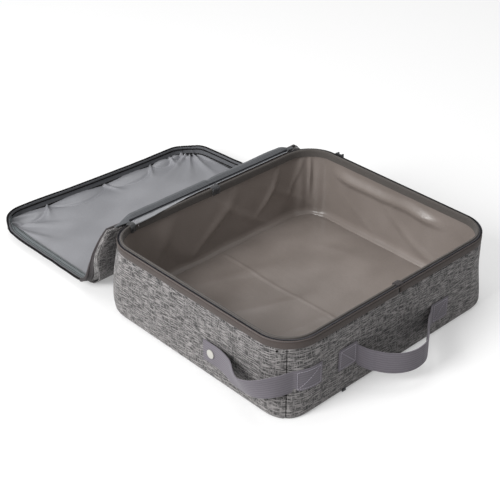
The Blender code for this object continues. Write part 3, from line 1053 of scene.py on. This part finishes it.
def near_side_line(side, distance):
    """A point of the near part's edge, its outward and upward directions, its way down."""
    if distance < quarter:
        turn = distance / corner_radius
        x = half_width - corner_radius + corner_radius * math.sin(turn)
        down = corner_radius - corner_radius * math.cos(turn)
        outward = Vector((side * math.sin(turn), -0.6 * math.cos(turn), -0.6 * math.cos(turn)))
        outward.normalize()
    else:
        x, down = half_width, corner_radius + distance - quarter
        outward = Vector((side, 0, 0))
    share = max(down - FIRST, 0.0) / (near_length - FIRST)
    point, upward = near_line(share, x)
    return Vector((side * x, point.y, point.z)), outward, upward, down


def standing(point, outward, upward, turn, full, height, inset):
    """A point of a skirt that has turned outward about its foot by an angle."""
    foot = point - outward * math.sin(turn) * full
    rising = outward * math.sin(turn) + upward * math.cos(turn)
    inward = upward * math.sin(turn) - outward * math.cos(turn)
    return foot + rising * height + inward * inset


def near_skirt_place(side, profile):
    """profile gives (inset, share of the height, metres more) from the foot up."""

    def place(across, up):
        point, outward, upward, down = near_side_line(side, across * near_side)
        full = near_height(down)
        inset, share, more = along(profile, up)
        turn = near_slump(side, down) * SLUMP_TURN
        return standing(point, outward, upward, turn, full, full * share + more, inset)

    return place


# %% Near skirts
near_cloth = [(0.0, 0.0, -lid_layers_depth), (0.0, 0.2, 0.0), (0.0002, TAPE_FROM, 0.0)]
near_tape = [
    (0.0001, TAPE_FROM, -0.0006),
    (0.0, TAPE_FROM, 0.0),
    (0.0002, 1.0, -0.0012),
    (0.0012, 1.0, -0.0006),
]
near_edging = [
    (-0.0006, 1.0, -0.0026),
    (-0.0002, 1.0, -0.0008),
    (0.0016, 1.0, 0.0000),
    (0.0034, 1.0, -0.0010),
    (0.0040, 1.0, -0.0055),
]
NEAR_PARTS = (  # name, profile, rows, width, thickness, finish and slot, the node it stands for
    ("skirt_cloth", near_cloth, 8, skirt_height, TAPE, HEATHER, "lid_near_skirt"),
    ("zip_tape", near_tape, 6, ZIP_TAPE, TAPE, ("maroon_tape", "zip"), "lid_near_zip"),
    ("edging", near_edging, 6, NEAR_EDGING, THIN_TAPE, ("maroon_tape", "rim_binding"), None),
)
for side, label in SIDES:
    for part, profile, rows, width, thickness, look, node in NEAR_PARTS:
        stands_for = (f"{node}_{label}",) if node else ()
        place = near_skirt_place(side, profile)
        size, look = (near_side, width), (*look, "lid_near")
        cloth(f"lid_near_{part}_{label}", (90, rows), size, place, thickness, look, stands_for)

# %% [markdown]
# ### Far part of the lid
# The far part lies open like a shallow tray. Its film is gathered where it meets the skirt:
# between the gathers it lifts in scallops, and long folds run out of the two far corners.
# The left skirt has slumped outward, and the gathers draw the far right corner in a little.

# %% How the far part lies
SCALLOPS = (-0.200, -0.105, 0.003, 0.103, 0.146, 0.168, 0.200)
LEANS = (-0.5, 0.35, -0.6, -0.2, 0.3)
CORNER_FANS = ((1, 15.0, 1.2), (-1, 11.0, 0.4))
DRAWN_X, DRAWN_Y, DRAWN_BOW = 0.014, 0.018, 0.006
FAR_SLUMP_FROM, FAR_SLUMP_TO = 0.048, 0.008
SCALLOP_LIFT, SCALLOP_DIP, DIP_OFF, DIP_REACH = 0.0052, 0.0030, 0.001, 0.005
SCALLOP_LEAST, SCALLOP_MOST, SCALLOP_SHARE = 0.005, 0.021, 0.28
GATHER_LIFT, GATHER_WIDE, GATHER_SPREAD = 0.0038, 0.0022, 0.12
GATHER_FROM, GATHER_TO = 0.004, 0.050
FAN_LIFT, FAN_INSET, FAN_FADE, FAN_FROM, FAN_FULL = 0.0066, 0.010, 0.060, 0.003, 0.014


def drawn_in(point):
    """Moves a point of the far part the way the gathered corner pulls it."""
    right = (point.x + half_width) / (2 * half_width)
    reach = unit((point.y - fold.y) / far_length)
    bow = DRAWN_BOW * arch(unit(right))
    back = (DRAWN_Y * right + bow) * reach**2
    return point - Vector((DRAWN_X * right**2 * reach, back, 0.0))


def far_slump(distance):
    """How far the left skirt has fallen outward, from 0 to 1, along the far part."""
    return 1 - smooth(distance, far_length - FAR_SLUMP_FROM, far_length - FAR_SLUMP_TO)


def scallop(x, edge):
    """The lining's height at a distance from the far edge: a lift, a dip and V folds."""
    lift = 0.0
    for left, right in zip(SCALLOPS, SCALLOPS[1:]):
        if left <= x <= right:
            wide = right - left
            bow = arch((x - left) / wide) ** 0.8
            depth = SCALLOP_LEAST + min(SCALLOP_SHARE * wide, SCALLOP_MOST) * bow
            lift += SCALLOP_LIFT * (1 - smooth(edge, 0.0, depth)) * (0.3 + 0.7 * bow)
            lift -= SCALLOP_DIP * hump(edge, depth + DIP_OFF, DIP_REACH) * bow
    for gather, lean in zip(SCALLOPS[1:-1], LEANS):
        off = (x - gather - lean * edge) / (GATHER_WIDE + GATHER_SPREAD * edge)
        fade = 1 - smooth(edge, GATHER_FROM, GATHER_TO)
        lift += GATHER_LIFT * math.exp(-(off**2)) * fade
    return lift


def corner_folds(x, distance):
    lift = 0.0
    for side, count, seed in CORNER_FANS:
        dx, dy = side * (half_width - FAN_INSET) - x, far_length - FAN_INSET - distance
        reach = math.hypot(dx, dy)
        angle = math.atan2(dy, side * dx)
        fade = math.exp(-reach / FAN_FADE) * smooth(reach, FAN_FROM, FAN_FULL)
        lift += FAN_LIFT * fade * (0.5 + 0.5 * math.sin(angle * count + seed)) ** 2
    return lift


# %% Far film and fabric
CALM_RUN = 0.03
FAR_SWELL, FAR_SWELL_SIZE = 0.0014, 0.07
FAR_CREASE, FAR_CREASE_SIZE = 0.0016, 0.13
FAR_BEND_FROM, FAR_BEND_TO = 0.0012, 0.030


def far_place(depth, inset, is_film):
    def place(across, up):
        half_x, length = half_width - inset, far_length - inset
        x, distance = (2 * across - 1) * half_x, up * length
        back = distance - length / 2
        if back > 0:
            x, back = rounded(x, back, half_x, length / 2, corner_radius - inset)
        distance = back + length / 2
        if x < 0:
            x *= 1 - math.sin(SLUMP_TURN * far_slump(distance)) * skirt_height / half_x
        point, out = far_line(distance)
        lift = 0.0
        if is_film:
            lift = scallop(x, length - distance) + corner_folds(x, distance)
            inside = smooth(min(half_x - abs(x), distance), 0.0, CALM_RUN)
            lift += inside * FAR_SWELL * (0.5 + rough(x, distance, 103.0, FAR_SWELL_SIZE))
            lift += inside * FAR_CREASE * crease(x, distance * 1.5, 107.0, FAR_CREASE_SIZE)
        return drawn_in(Vector((x, point.y, point.z)) + out * (lift - depth))

    return place


bend_from, bend_to = ((0, fold.y + run, fold.z) for run in (FAR_BEND_FROM, FAR_BEND_TO))
FAR = ("lid_near", "lid_far", bend_from, bend_to)
far_size = (2 * half_width, far_length)
cloth(
    "lid_far_film", (250, 160), far_size, far_place(0.0, 0.0034, True), LID_FILM,
    ("lid_film", "lid_lining_film", FAR), ("lid_far_lining", "lid_far_pad"),
)
cloth(
    "lid_far_fabric", (110, 66), far_size, far_place(lid_layers_depth, 0.0005, False), FABRIC,
    (*HEATHER, FAR), ("lid_far_cover",),
)
cord_low, cord_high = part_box("lid_fold_cord")
CORD_SHORT, CORD_UNDER = 0.004, 0.0022
cord_ends = (-half_width + skirt_height, 0.0, half_width - CORD_SHORT)
cord_points = [Vector((x, fold.y, fold.z - CORD_UNDER)) for x in cord_ends]
cord_radius = (cord_high.z - cord_low.z) / 4
cord_look = ("dark_thread", "zip", "lid_far")
wire("lid_fold_seam", cord_points, cord_radius, cord_look, ("lid_fold_cord",))

# %% How the far skirt runs
far_legs = (far_length - corner_radius, quarter, side_x, quarter, far_length - corner_radius)
far_around = sum(far_legs)
left_from = sum(far_legs[:3]) + quarter * 0.35
left_corner = far_around - far_legs[0] - quarter / 2
LEFT_CORNER = 0.0030
SKIRT_ROUGH, SKIRT_ROUGH_SIZE = 0.0010, 0.03
BUNCH_DEPTH, BUNCH_SIZE, BUNCH_REACH = 0.0040, 0.006, 0.030
FAR_STEPS = 420
HAIR = 0.0001


def far_side_line(distance):
    """A point of the far part's edge from the right end of the fold round to the left one."""
    point, out = walk_legs(far_legs, Vector((half_width, 0.0, 0.0)), math.pi / 2, distance)
    point -= out * LEFT_CORNER * hump(distance, left_corner, quarter)
    base, upward = far_line(point.y)
    return Vector((point.x, base.y, base.z)), out, upward, point.y


def far_skirt_place(profile, first=0.0, last=far_around):
    """profile gives (inset, height) pairs of the standing skirt, from its foot up."""

    def place(across, up):
        run = first + across * (last - first)
        point, out, upward, distance = far_side_line(run)
        turn = SLUMP_TURN * far_slump(distance) * smooth(-out.x, 0.3, 0.95)
        inset, height = along(profile, up)
        share = max(height, 0.0) / skirt_height
        inset += SKIRT_ROUGH * rough(run, height, 109.0, SKIRT_ROUGH_SIZE) * share
        bunch = hump(run, far_legs[0] + quarter * 0.55, BUNCH_REACH)
        inset += bunch * BUNCH_DEPTH * crease(run, 0.3 * height, 113.0, BUNCH_SIZE)
        height *= 1 - 0.10 * bunch
        return drawn_in(standing(point, out, upward, turn, skirt_height, height, inset))

    return place


# %% Far skirt
tape_low = skirt_height - ZIP_TAPE
outer = [(0.0008, -lid_layers_depth), (0.0000, 0.0), (0.0002, tape_low + 0.0006)]
zipped = [(0.0002, tape_low), (0.0000, tape_low + 0.001), (0.0004, skirt_height - 0.0022)]
upper = [
    (0.0030, tape_low + 0.0004),
    (0.0034, tape_low + 0.0012),
    (0.0034, skirt_height - 0.0016),
    (0.0022, skirt_height - 0.0008),
]
lower = [
    (0.0030, 0.0020),
    (0.0036, 0.0030),
    (0.0036, tape_low - 0.0010),
    (0.0030, tape_low - 0.0002),
]
flange = [(0.0030, -0.001), *lower[1:]]
BAND, TEAL = ("band_tape", "rim_binding"), ("teal_tape", "rim_binding")
FAR_PARTS = (  # name, profile, rows, thickness, finish and slot, the node it stands for, ends
    ("skirt_cloth", outer, 8, TAPE, HEATHER, ("lid_far_skirt",), ()),
    ("zip_tape", zipped, 5, TAPE, ("charcoal_tape", "zip"), ("lid_far_zip",), ()),
    ("edging", upper, 6, THIN_TAPE, BAND, (), ()),
    ("band", lower, 6, THIN_TAPE, BAND, (), (0.0, left_from)),
    ("flange", flange, 8, THIN_TAPE, TEAL, (), (left_from, far_around)),
)
for part, profile, rows, thickness, look, stands_for, ends in FAR_PARTS:
    first, last = ends or (0.0, far_around)
    squares, size = (int((last - first) * FAR_STEPS), rows), (last - first, sum(spans_of(profile)))
    place = far_skirt_place(profile, first, last)
    cloth(f"lid_far_{part}", squares, size, place, thickness, (*look, FAR), stands_for)

FAR_SEAMS = (  # name, inset, height, radius, slot, where it ends
    ("upper", 0.0046, tape_low, 0.0010, "zip", left_from),
    ("top", 0.0034, skirt_height - 0.0006, 0.0009, "zip", far_around),
    ("foot", 0.0050, 0.0046, 0.0009, "rim_binding", left_from),
)
for part, inset, height, radius, slot, last in FAR_SEAMS:
    place = far_skirt_place([(inset, height), (inset, height + HAIR)], 0.0, last)
    line = [place(step / FAR_STEPS, 0.0) for step in range(FAR_STEPS + 1)]
    wire(f"lid_far_seam_{part}", line, radius, ("dark_thread", slot, FAR))

# %% Zip coils of the lid
COIL_IN, COIL_DOWN = 0.0016, 0.0012
coil_profile = [(COIL_IN, skirt_height - COIL_DOWN), (COIL_IN, skirt_height)]
far_coil_place = far_skirt_place(coil_profile)


def far_coil_line(distance):
    _, out, upward, _ = far_side_line(distance)
    return far_coil_place(distance / far_around, 0.0), out, upward


coil("lid_far_coil", far_coil_line, far_around, FAR)
for side, label in SIDES:
    coil_place = near_skirt_place(side, [(0.0014, 1.0, -0.0006), (0.0014, 1.0, 0.0)])

    def near_coil_line(distance, side=side, coil_place=coil_place):
        _, outward, upward, _ = near_side_line(side, distance)
        return coil_place(distance / near_side, 0.0), outward, upward

    coil(f"lid_near_coil_{label}", near_coil_line, near_side, "lid_near")
print("lid dressed")

# %% [markdown]
# ## Webbing
# The carry handle and the corner strap are the same webbing. A strap is a flat ribbon that
# follows a line and keeps its width upright, so one helper makes both from a line.

# %% Webbing ribbon
STRAP_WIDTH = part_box("strap_patch")[1].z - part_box("strap_patch")[0].z
STRAP_THICK, STRAP_EDGE = 0.0016, 0.0004


def halfway(name, axis):
    return sum(corner[axis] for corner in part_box(name)) / 2


def ribbon(name, line, steps, carrier, stands_for):
    """Webbing along a line, which gives its middle and the way its width points."""

    def place(across, up):
        centre, lean = line(across)
        return centre + lean * ((up - 0.5) * STRAP_WIDTH)

    middles = [line(step / steps)[0] for step in range(steps + 1)]
    length = sum((b - a).length for a, b in zip(middles, middles[1:]))
    print(name, "is cut", round(length, 4), "long")
    cloth(
        name, (steps, 8), (length, STRAP_WIDTH), place, STRAP_THICK,
        ("webbing", "webbing", carrier), stands_for, offset=0, soft_edge=STRAP_EDGE,
    )


# %% How the handle hangs
PIVOT_OUT = half_depth + 0.020
ANCHOR_RUN, SEWN = 0.016, 0.032
SHEET_OFF = 0.0011
BULGE_SKEW = 0.85
DROOP = 0.0148
HANG_IN, HANG_DOWN = 0.0105, 0.0030
pivot_left, height_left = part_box("handle_anchor_left")[1].x, halfway("handle_anchor_left", 2)
pivot_right, height_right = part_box("handle_anchor_right")[0].x, halfway("handle_anchor_right", 2)
pivot_gap = pivot_right - pivot_left
bulge = -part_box("handle_loop")[0].y - PIVOT_OUT


def handle_line(share):
    """The whole handle from one sewn end to the other, through both pivots."""
    run = share * (SEWN + ANCHOR_RUN + pivot_gap + ANCHOR_RUN + SEWN)
    x = pivot_left - ANCHOR_RUN - SEWN + run
    inner = unit((x - pivot_left) / pivot_gap)
    lift_left = smooth(x, pivot_left - ANCHOR_RUN, pivot_left)
    rise = min(lift_left, 1 - smooth(x, pivot_right, pivot_right + ANCHOR_RUN))
    hanging = rise * smooth(inner, 0.55, 0.95)
    sagging = unit((x - pivot_left + ANCHOR_RUN) / (pivot_gap + ANCHOR_RUN))
    y = -half_depth - SHEET_OFF - (PIVOT_OUT - half_depth - SHEET_OFF) * rise
    y -= bulge * arch(inner**BULGE_SKEW)
    y += HANG_IN * hanging
    z = height_left + (height_right - height_left) * inner - DROOP * arch(math.sqrt(sagging))
    z -= HANG_DOWN * hanging
    return Vector((x, y, z)), Vector((0, 0, 1))


# %% Carry handle
HALVES = (  # name, from, to, pivot, its height, which way is inward, the nodes it stands for
    ("left", 0.0, 0.5, pivot_left, height_left, 1, ("handle_anchor_left", "handle_loop")),
    ("right", 0.5, 1.0, pivot_right, height_right, -1, ("handle_anchor_right",)),
)
for label, first, last, pivot, level, inward, stands_for in HALVES:

    def half_line(share, first=first, last=last):
        return handle_line(first + (last - first) * share)

    start = (pivot - inward * ANCHOR_RUN * 0.9, -PIVOT_OUT, level)
    end = (pivot + inward * ANCHOR_RUN, -PIVOT_OUT, level)
    carrier = ("handle_mount", "handle", start, end)
    ribbon(f"handle_webbing_{label}", half_line, 90, carrier, stands_for)

# %% How the corner strap runs
PATCH_LENGTH = 0.040
PATCH_TURN = math.radians(35)
STRAP_BULGE, STRAP_TAIL, STRAP_BEND = 0.020, 0.015, 0.022
SETTLED = 0.006
SLACK_AT, SLACK_REACH, SLACK_DROP, SLACK_TILT = 0.44, 0.28, 0.005, math.radians(24)
SNAP_OFF = 0.0045
snap_y, snap_z = halfway("snap_cap", 1), halfway("snap_cap", 2)
strap_height = halfway("strap_patch", 2)
seam_distance = girth - side_x / 2 - PATCH_TURN * corner_radius
snap_distance = girth - side_x / 2 - quarter - (snap_y + half_depth - corner_radius)
to_snap = seam_distance - snap_distance


def strap_line(share):
    """From the sewn end, backward round the corner, to the tail beyond the snap."""
    run = share * (PATCH_LENGTH + to_snap + STRAP_TAIL) - PATCH_LENGTH
    part = unit(run / (to_snap - SETTLED))
    settle = smooth(part)
    swell_out = STRAP_BULGE * arch(part**0.75) ** 2
    offset = SHEET_OFF + (SNAP_OFF - SHEET_OFF) * settle + swell_out
    slack = hump(part, SLACK_AT, SLACK_REACH)
    level = strap_height - (strap_height - snap_z) * settle - SLACK_DROP * slack
    point = on_outline(seam_distance - run, offset, level)
    _, out = walk(seam_distance - run)
    tilt = SLACK_TILT * slack
    return point, out * math.sin(tilt) + Vector((0, 0, math.cos(tilt)))


# %% Corner strap
strap_start = on_outline(seam_distance, SHEET_OFF, strap_height)
strap_end = on_outline(seam_distance - STRAP_BEND, SHEET_OFF, strap_height)
carrier = ("strap_mount", "strap", strap_start, strap_end)
ribbon("corner_strap", strap_line, 150, carrier, ("strap_patch", "snap_strap"))
METAL = {
    "snap_cap": "cap_lacquer",
    "snap_socket": "snap_steel",
    "snap_stud": "snap_steel",
    "zip_slider": "slider_metal",
    "zip_pull": "slider_metal",
}
for name, finish in METAL.items():
    coat(nodes[name], finish)

# %% [markdown]
# ## Silver strip on the back rim
# A tongue of silver film shows on the back rim. It is widest at the left and runs out.

# %% Silver strip
over_rim = [
    (-0.0003, rim_top + 0.0009),
    (-0.0074, rim_top + 0.0012),
    (-0.0092, rim_top + 0.0002),
    (-0.0098, rim_top - 0.0110),
]
over_length = sum(spans_of(over_rim))
back_start = half_girth - side_x / 2
STRIP_NARROW, STRIP_WIDE, STRIP_THICK = 0.0012, 0.0105, 0.0004
STRIP_RIPPLE_SIZE = 0.012


def strip_place(across, up):
    distance = back_start + across * side_x
    wide = STRIP_NARROW + (STRIP_WIDE - STRIP_NARROW) * smooth(across, 0.58, 0.99)
    outward, height = along(over_rim, up * wide / over_length)
    ripple = RIPPLE * rough(distance, up * wide, 127.0, STRIP_RIPPLE_SIZE)
    return on_outline(distance, outward, height + ripple)


cloth(
    "rim_film_strip", (150, 12), (side_x, STRIP_WIDE), strip_place, STRIP_THICK,
    ("silver_film", "lining_film", "rim"), ("hinge_strip",),
)

# %% Tabs over the rim
TAB_LENGTH, TAB_THICK, TAB_ROUGH, TAB_ROUGH_SIZE = 0.024, 0.0009, 0.0006, 0.004
back_left = half_girth + side_x / 2
TABS = (  # name, where it starts and ends along the rim, finish, seed
    ("front", -0.0045, 0.0060, "maroon_tape", 131.0),
    ("back", half_girth - 0.0050, half_girth + 0.0085, "charcoal_tape", 137.0),
    ("corner", back_left - 0.0015, back_left + 0.0087, "charcoal_tape", 139.0),
)


def tab_place(first, last, seed):
    def place(across, up):
        outward, height = along(over_rim, up)
        tuck = TAB_ROUGH * rough(across * 0.01, up * 0.02, seed, TAB_ROUGH_SIZE)
        return on_outline(first + across * (last - first), outward + tuck, height)

    return place


for label, first, last, finish, seed in TABS:
    size, look = (last - first, TAB_LENGTH), (finish, "rim_binding", "rim")
    cloth(f"rim_tab_{label}", (14, 20), size, tab_place(first, last, seed), TAB_THICK, look)

# %% [markdown]
# ## Stitches
# Thread shows as short dashes. Each dash is a tiny closed rod that lies along the seam,
# and all dashes of one seam are one object on the body that carries the seam.

# %% Make rows of stitches
STITCH_PITCH, STITCH_THICK = 0.0034, 0.0004
STITCH_SHARE = 0.76
SEAM_IN, STRAP_SEAM_FAR = 0.0028, 0.036
PROUD, ROW_STEPS = 0.0002, 12
face_y = -half_depth - SHEET_OFF - STRAP_THICK / 2 - PROUD
face_out = SHEET_OFF + STRAP_THICK / 2 + PROUD


def stitches(name, rows, look, radius=STITCH_THICK):
    shape = bmesh.new()
    for row in rows:
        count = max(int(sum(spans_of(row)) / STITCH_PITCH), 1)
        for number in range(count):
            start_at = Vector(along(row, number / count))
            end_at = Vector(along(row, (number + STITCH_SHARE) / count))
            way = end_at - start_at
            turn = way.to_track_quat("Z", "Y").to_matrix().to_4x4()
            bmesh.ops.create_cone(
                shape,
                cap_ends=True,
                segments=5,
                radius1=radius,
                radius2=radius,
                depth=way.length,
                matrix=Matrix.Translation((start_at + end_at) / 2) @ turn,
            )
    dress(to_object(name, shape), *look)


def box_rows(low, high, flat):
    """The stitched box with one diagonal; flat turns (x, z) into a place on the cloth."""
    (x0, z0), (x1, z1) = low, high
    corners = [(x0, z0), (x1, z0), (x1, z1), (x0, z1), (x0, z0), (x1, z1)]
    shares = [step / ROW_STEPS for step in range(ROW_STEPS + 1)]
    rows = []
    for (x_from, z_from), (x_to, z_to) in zip(corners, corners[1:]):
        wide, high = x_to - x_from, z_to - z_from
        rows.append([flat(x_from + wide * share, z_from + high * share) for share in shares])
    return rows


def on_front(x, z):
    return Vector((x, face_y, z))


def on_strap(run, z):
    return on_outline(seam_distance + PATCH_LENGTH - run, face_out, strap_height + z)


# %% Stitches on the webbing
half_tape = STRAP_WIDTH / 2 - SEAM_IN
for label, _, _, pivot, level, inward, _ in HALVES:
    near_x = pivot - inward * (ANCHOR_RUN + SEAM_IN)
    far_x = pivot - inward * (ANCHOR_RUN + SEWN - SEAM_IN)
    rows = box_rows((near_x, level - half_tape), (far_x, level + half_tape), on_front)
    stitches(f"handle_stitches_{label}", rows, ("pale_thread", "webbing", "handle_mount"))
rows = box_rows((STRAP_SEAM_FAR, -half_tape), (SEAM_IN, half_tape), on_strap)
stitches("strap_stitches", rows, ("pale_thread", "webbing", "strap_mount"))

# %% Corner seams, flange stitches and the stitched end of the strip
SEAM_STEPS, SEAM_THICK = 24, 0.0006
FLANGE_IN, FLANGE_ROWS, FLANGE_STEPS, FLANGE_THICK = 0.0046, (0.0035, 0.0110), 60, 0.0003
STRIP_SEAM_AT, STRIP_SEAM_LEAN, STRIP_SEAM_STEPS = 0.0035, 0.003, 8
ON_WALL = ("dark_thread", "heather_fabric", "base")
seams = []
for number, middle in enumerate(corner_middles):
    heights = [step / SEAM_STEPS * band_low for step in range(1, SEAM_STEPS + 1)]
    line = [on_outline(middle, swell(middle, height) + HAIR, height) for height in heights]
    seams.append(wire(f"corner_seam_{number}", line, SEAM_THICK, ON_WALL))

flange_rows = []
for height in FLANGE_ROWS:
    profile = [(FLANGE_IN, height), (FLANGE_IN, height + HAIR)]
    flange_line = far_skirt_place(profile, left_from, far_around)
    shares = [step / FLANGE_STEPS for step in range(FLANGE_STEPS + 1)]
    flange_rows.append([flange_line(share, 0.0) for share in shares])
flange_look = ("dark_thread", "rim_binding", FAR)
stitches("lid_flange_stitches", flange_rows, flange_look, FLANGE_THICK)

strip_row = []
for step in range(STRIP_SEAM_STEPS + 1):
    distance = back_left - STRIP_SEAM_AT - STRIP_SEAM_LEAN * step / STRIP_SEAM_STEPS
    spot = on_outline(distance, *along(over_rim, step / STRIP_SEAM_STEPS * 0.8))
    strip_row.append(spot + Vector((0, 0, SEAM_THICK)))
stitches("rim_strip_stitches", [strip_row], ("pale_thread", "rim_binding", "rim"))

# %% Foot tag and thread knot
tag_at, tag_size = Vector((-0.098, -half_depth - 0.0005, 0.0035)), Vector((0.006, 0.0018, 0.004))
shape = bmesh.new()
bmesh.ops.create_cube(shape, size=1.0, matrix=Matrix.LocRotScale(tag_at, None, tag_size))
dress(to_object("foot_tag", shape), "charcoal_tape", "rim_tape", "base")
KNOT, KNOT_BESIDE, KNOT_OUT, KNOT_UNDER = 0.0016, 0.012, 0.0006, 0.004
knot_at = on_outline(corner_middles[3] - KNOT_BESIDE, KNOT_OUT, band_low - KNOT_UNDER)
shape = bmesh.new()
knot_place = Matrix.Translation(knot_at)
bmesh.ops.create_icosphere(shape, subdivisions=2, radius=KNOT, matrix=knot_place)
thread_knot = dress(to_object("thread_knot", shape), *ON_WALL)

# %% Trims that are sewn to a cloth
TRIMS = {
    "wall_fabric": ["rim_coil", "rim_zip_tape", "rim_piping", "thread_knot", "foot_tag"],
    "rim_film_strip": ["rim_strip_stitches"],
    "lid_near_fabric": ["lid_fold_seam"],
    "lid_far_skirt_cloth": [
        f"lid_far_{trim}" for trim in ("zip_tape", "coil", "edging", "seam_top", "seam_upper")
    ],
    "lid_far_band": ["lid_far_seam_foot"],
    "lid_far_flange": ["lid_flange_stitches"],
    "corner_strap": ["strap_stitches"],
}
TRIMS["wall_fabric"] += [seam.name for seam in seams]

# %% Cloths, how each is held and what it rests on
cloths = [
    ("wall_fabric", "stretched", "floor_fabric"),
    ("floor_fabric", "laid", "floor"),
    ("wall_film", "hung", "rim_edging_left"),
    ("floor_film", "laid", "floor_board"),
    ("rim_tape_left", "stretched", "wall_fabric"),
    ("rim_tape_right", "stretched", "wall_fabric"),
    ("rim_edging_left", "stretched", "rim_tape_left"),
    ("rim_edging_right", "stretched", "rim_tape_right"),
    ("rim_film_strip", "stretched", "rim_edging_left"),
    ("hinge_roll", "draped", "rim_tape_right"),
    ("lid_near_film", "hung", "hinge_roll"),
    ("lid_near_fabric", "hung", "hinge_roll"),
    ("lid_far_film", "laid", "lid_far_fabric"),
    ("lid_far_fabric", "laid", "floor"),
    ("lid_far_skirt_cloth", "stretched", "lid_far_fabric"),
    ("lid_far_band", "stretched", "lid_far_skirt_cloth"),
    ("lid_far_flange", "stretched", "lid_far_skirt_cloth"),
    ("corner_strap", "stretched", "wall_fabric"),
]
for _, label in SIDES:
    TRIMS[f"handle_webbing_{label}"] = [f"handle_stitches_{label}"]
    near_trims = [f"lid_near_{trim}_{label}" for trim in ("zip_tape", "edging", "coil")]
    TRIMS[f"lid_near_skirt_cloth_{label}"] = near_trims
    cloths.append((f"handle_webbing_{label}", "stretched", "wall_fabric"))
cloths += [(f"rim_tab_{tab[0]}", "folded", "rim_edging_left") for tab in TABS]
for _, label in SIDES:
    cloths.append((f"lid_near_skirt_cloth_{label}", "stretched", "lid_near_fabric"))
print("cloths declared", len(cloths))

# %% [markdown]
# ## Soft parts that move
# When the tray is pressed flat, its walls crumple. Here the walls, their lining and the near
# part of the lid each get a mesh of their own.

# %% Give the walls and the near part meshes of their own


def press(pieces, foot, top):
    """Gives each piece its own copy of its mesh; foot and top are not used."""
    for piece in pieces:
        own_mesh(piece)


in_scene = bpy.context.scene.objects
near_pieces = [o for o in in_scene if o.get("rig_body") == "lid_near" and "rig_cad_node" not in o]
press([wall_fabric, thread_knot, *seams], 0.0, wall_top)
press([wall_film], floor_top, FILM_TOP)
press(near_pieces, fold.z / 2, ROLL_END.z)
print("near pieces squashed", len(near_pieces))

# %% [markdown]
# ## Floor, light and camera
# A pale floor and a large soft light from the left keep the colours as they are written.

# %% Floor
FLOOR_SIZE, FLOOR_DROP = 6.0, 0.0002
shape = bmesh.new()
bmesh.ops.create_grid(shape, x_segments=1, y_segments=1, size=FLOOR_SIZE)
floor = to_object("floor", shape)
floor.location.z = -FLOOR_DROP
tree, shader = new_material("pale_floor", 0.9)
ray = tree.nodes.new("ShaderNodeLightPath")
floor_values = {
    "Base Color": (0.68, 0.68, 0.68, 1.0),
    "Specular IOR Level": 0.1,
    "Emission Strength": calc(tree, "MULTIPLY", ray.outputs["Is Camera Ray"], 0.30),
    "Emission Color": (1.0, 1.0, 1.0, 1.0),
}
fill(tree, shader, floor_values)
coat(floor, "pale_floor")

# %% World
world = bpy.data.worlds.new("studio")
bpy.context.scene.world = world
world.use_nodes = True
tree = world.node_tree
ray = tree.nodes.new("ShaderNodeLightPath")
strength = calc(tree, "MULTIPLY_ADD", ray.outputs["Is Camera Ray"], 0.50, 0.50)
sky = {"Color": (1.0, 1.0, 1.0, 1.0), "Strength": strength}
fill(tree, tree.nodes["Background"], sky)

# %% Lamps
AIM = Vector((0, 0.05, 0.03))
LAMPS = (  # name, place, size in metres, power in watts
    ("key", (-2.4, 0.28, 1.55), 1.3, 79.0),
    ("top", (0.3, 0.6, 2.6), 2.2, 20.0),
)
for name, place, size, power in LAMPS:
    lamp = bpy.data.lights.new(name, "AREA")
    lamp.shape = "SQUARE"
    lamp.size = size
    lamp.energy = power
    holder = bpy.data.objects.new(name, lamp)
    holder.location = place
    holder.rotation_mode = "QUATERNION"
    holder.rotation_quaternion = (AIM - Vector(place)).to_track_quat("-Z", "Y")
    bpy.context.scene.collection.objects.link(holder)

# %% [markdown]
# The camera stands where the box's outline matches the photograph: left of the front
# corner and about 32 degrees above the floor, with a long lens.

# %% Camera
camera_data = bpy.data.cameras.new("camera")
camera_data.lens = 86.64
camera_data.sensor_width = 36.0
camera = bpy.data.objects.new("camera", camera_data)
camera.location = (-0.9953, -0.9562, 0.9562)
camera.rotation_euler = (math.radians(90 - 32.244), 0.0, math.radians(-43.337))
bpy.context.scene.collection.objects.link(camera)
bpy.context.scene.camera = camera
bpy.context.scene.view_settings.view_transform = "Standard"
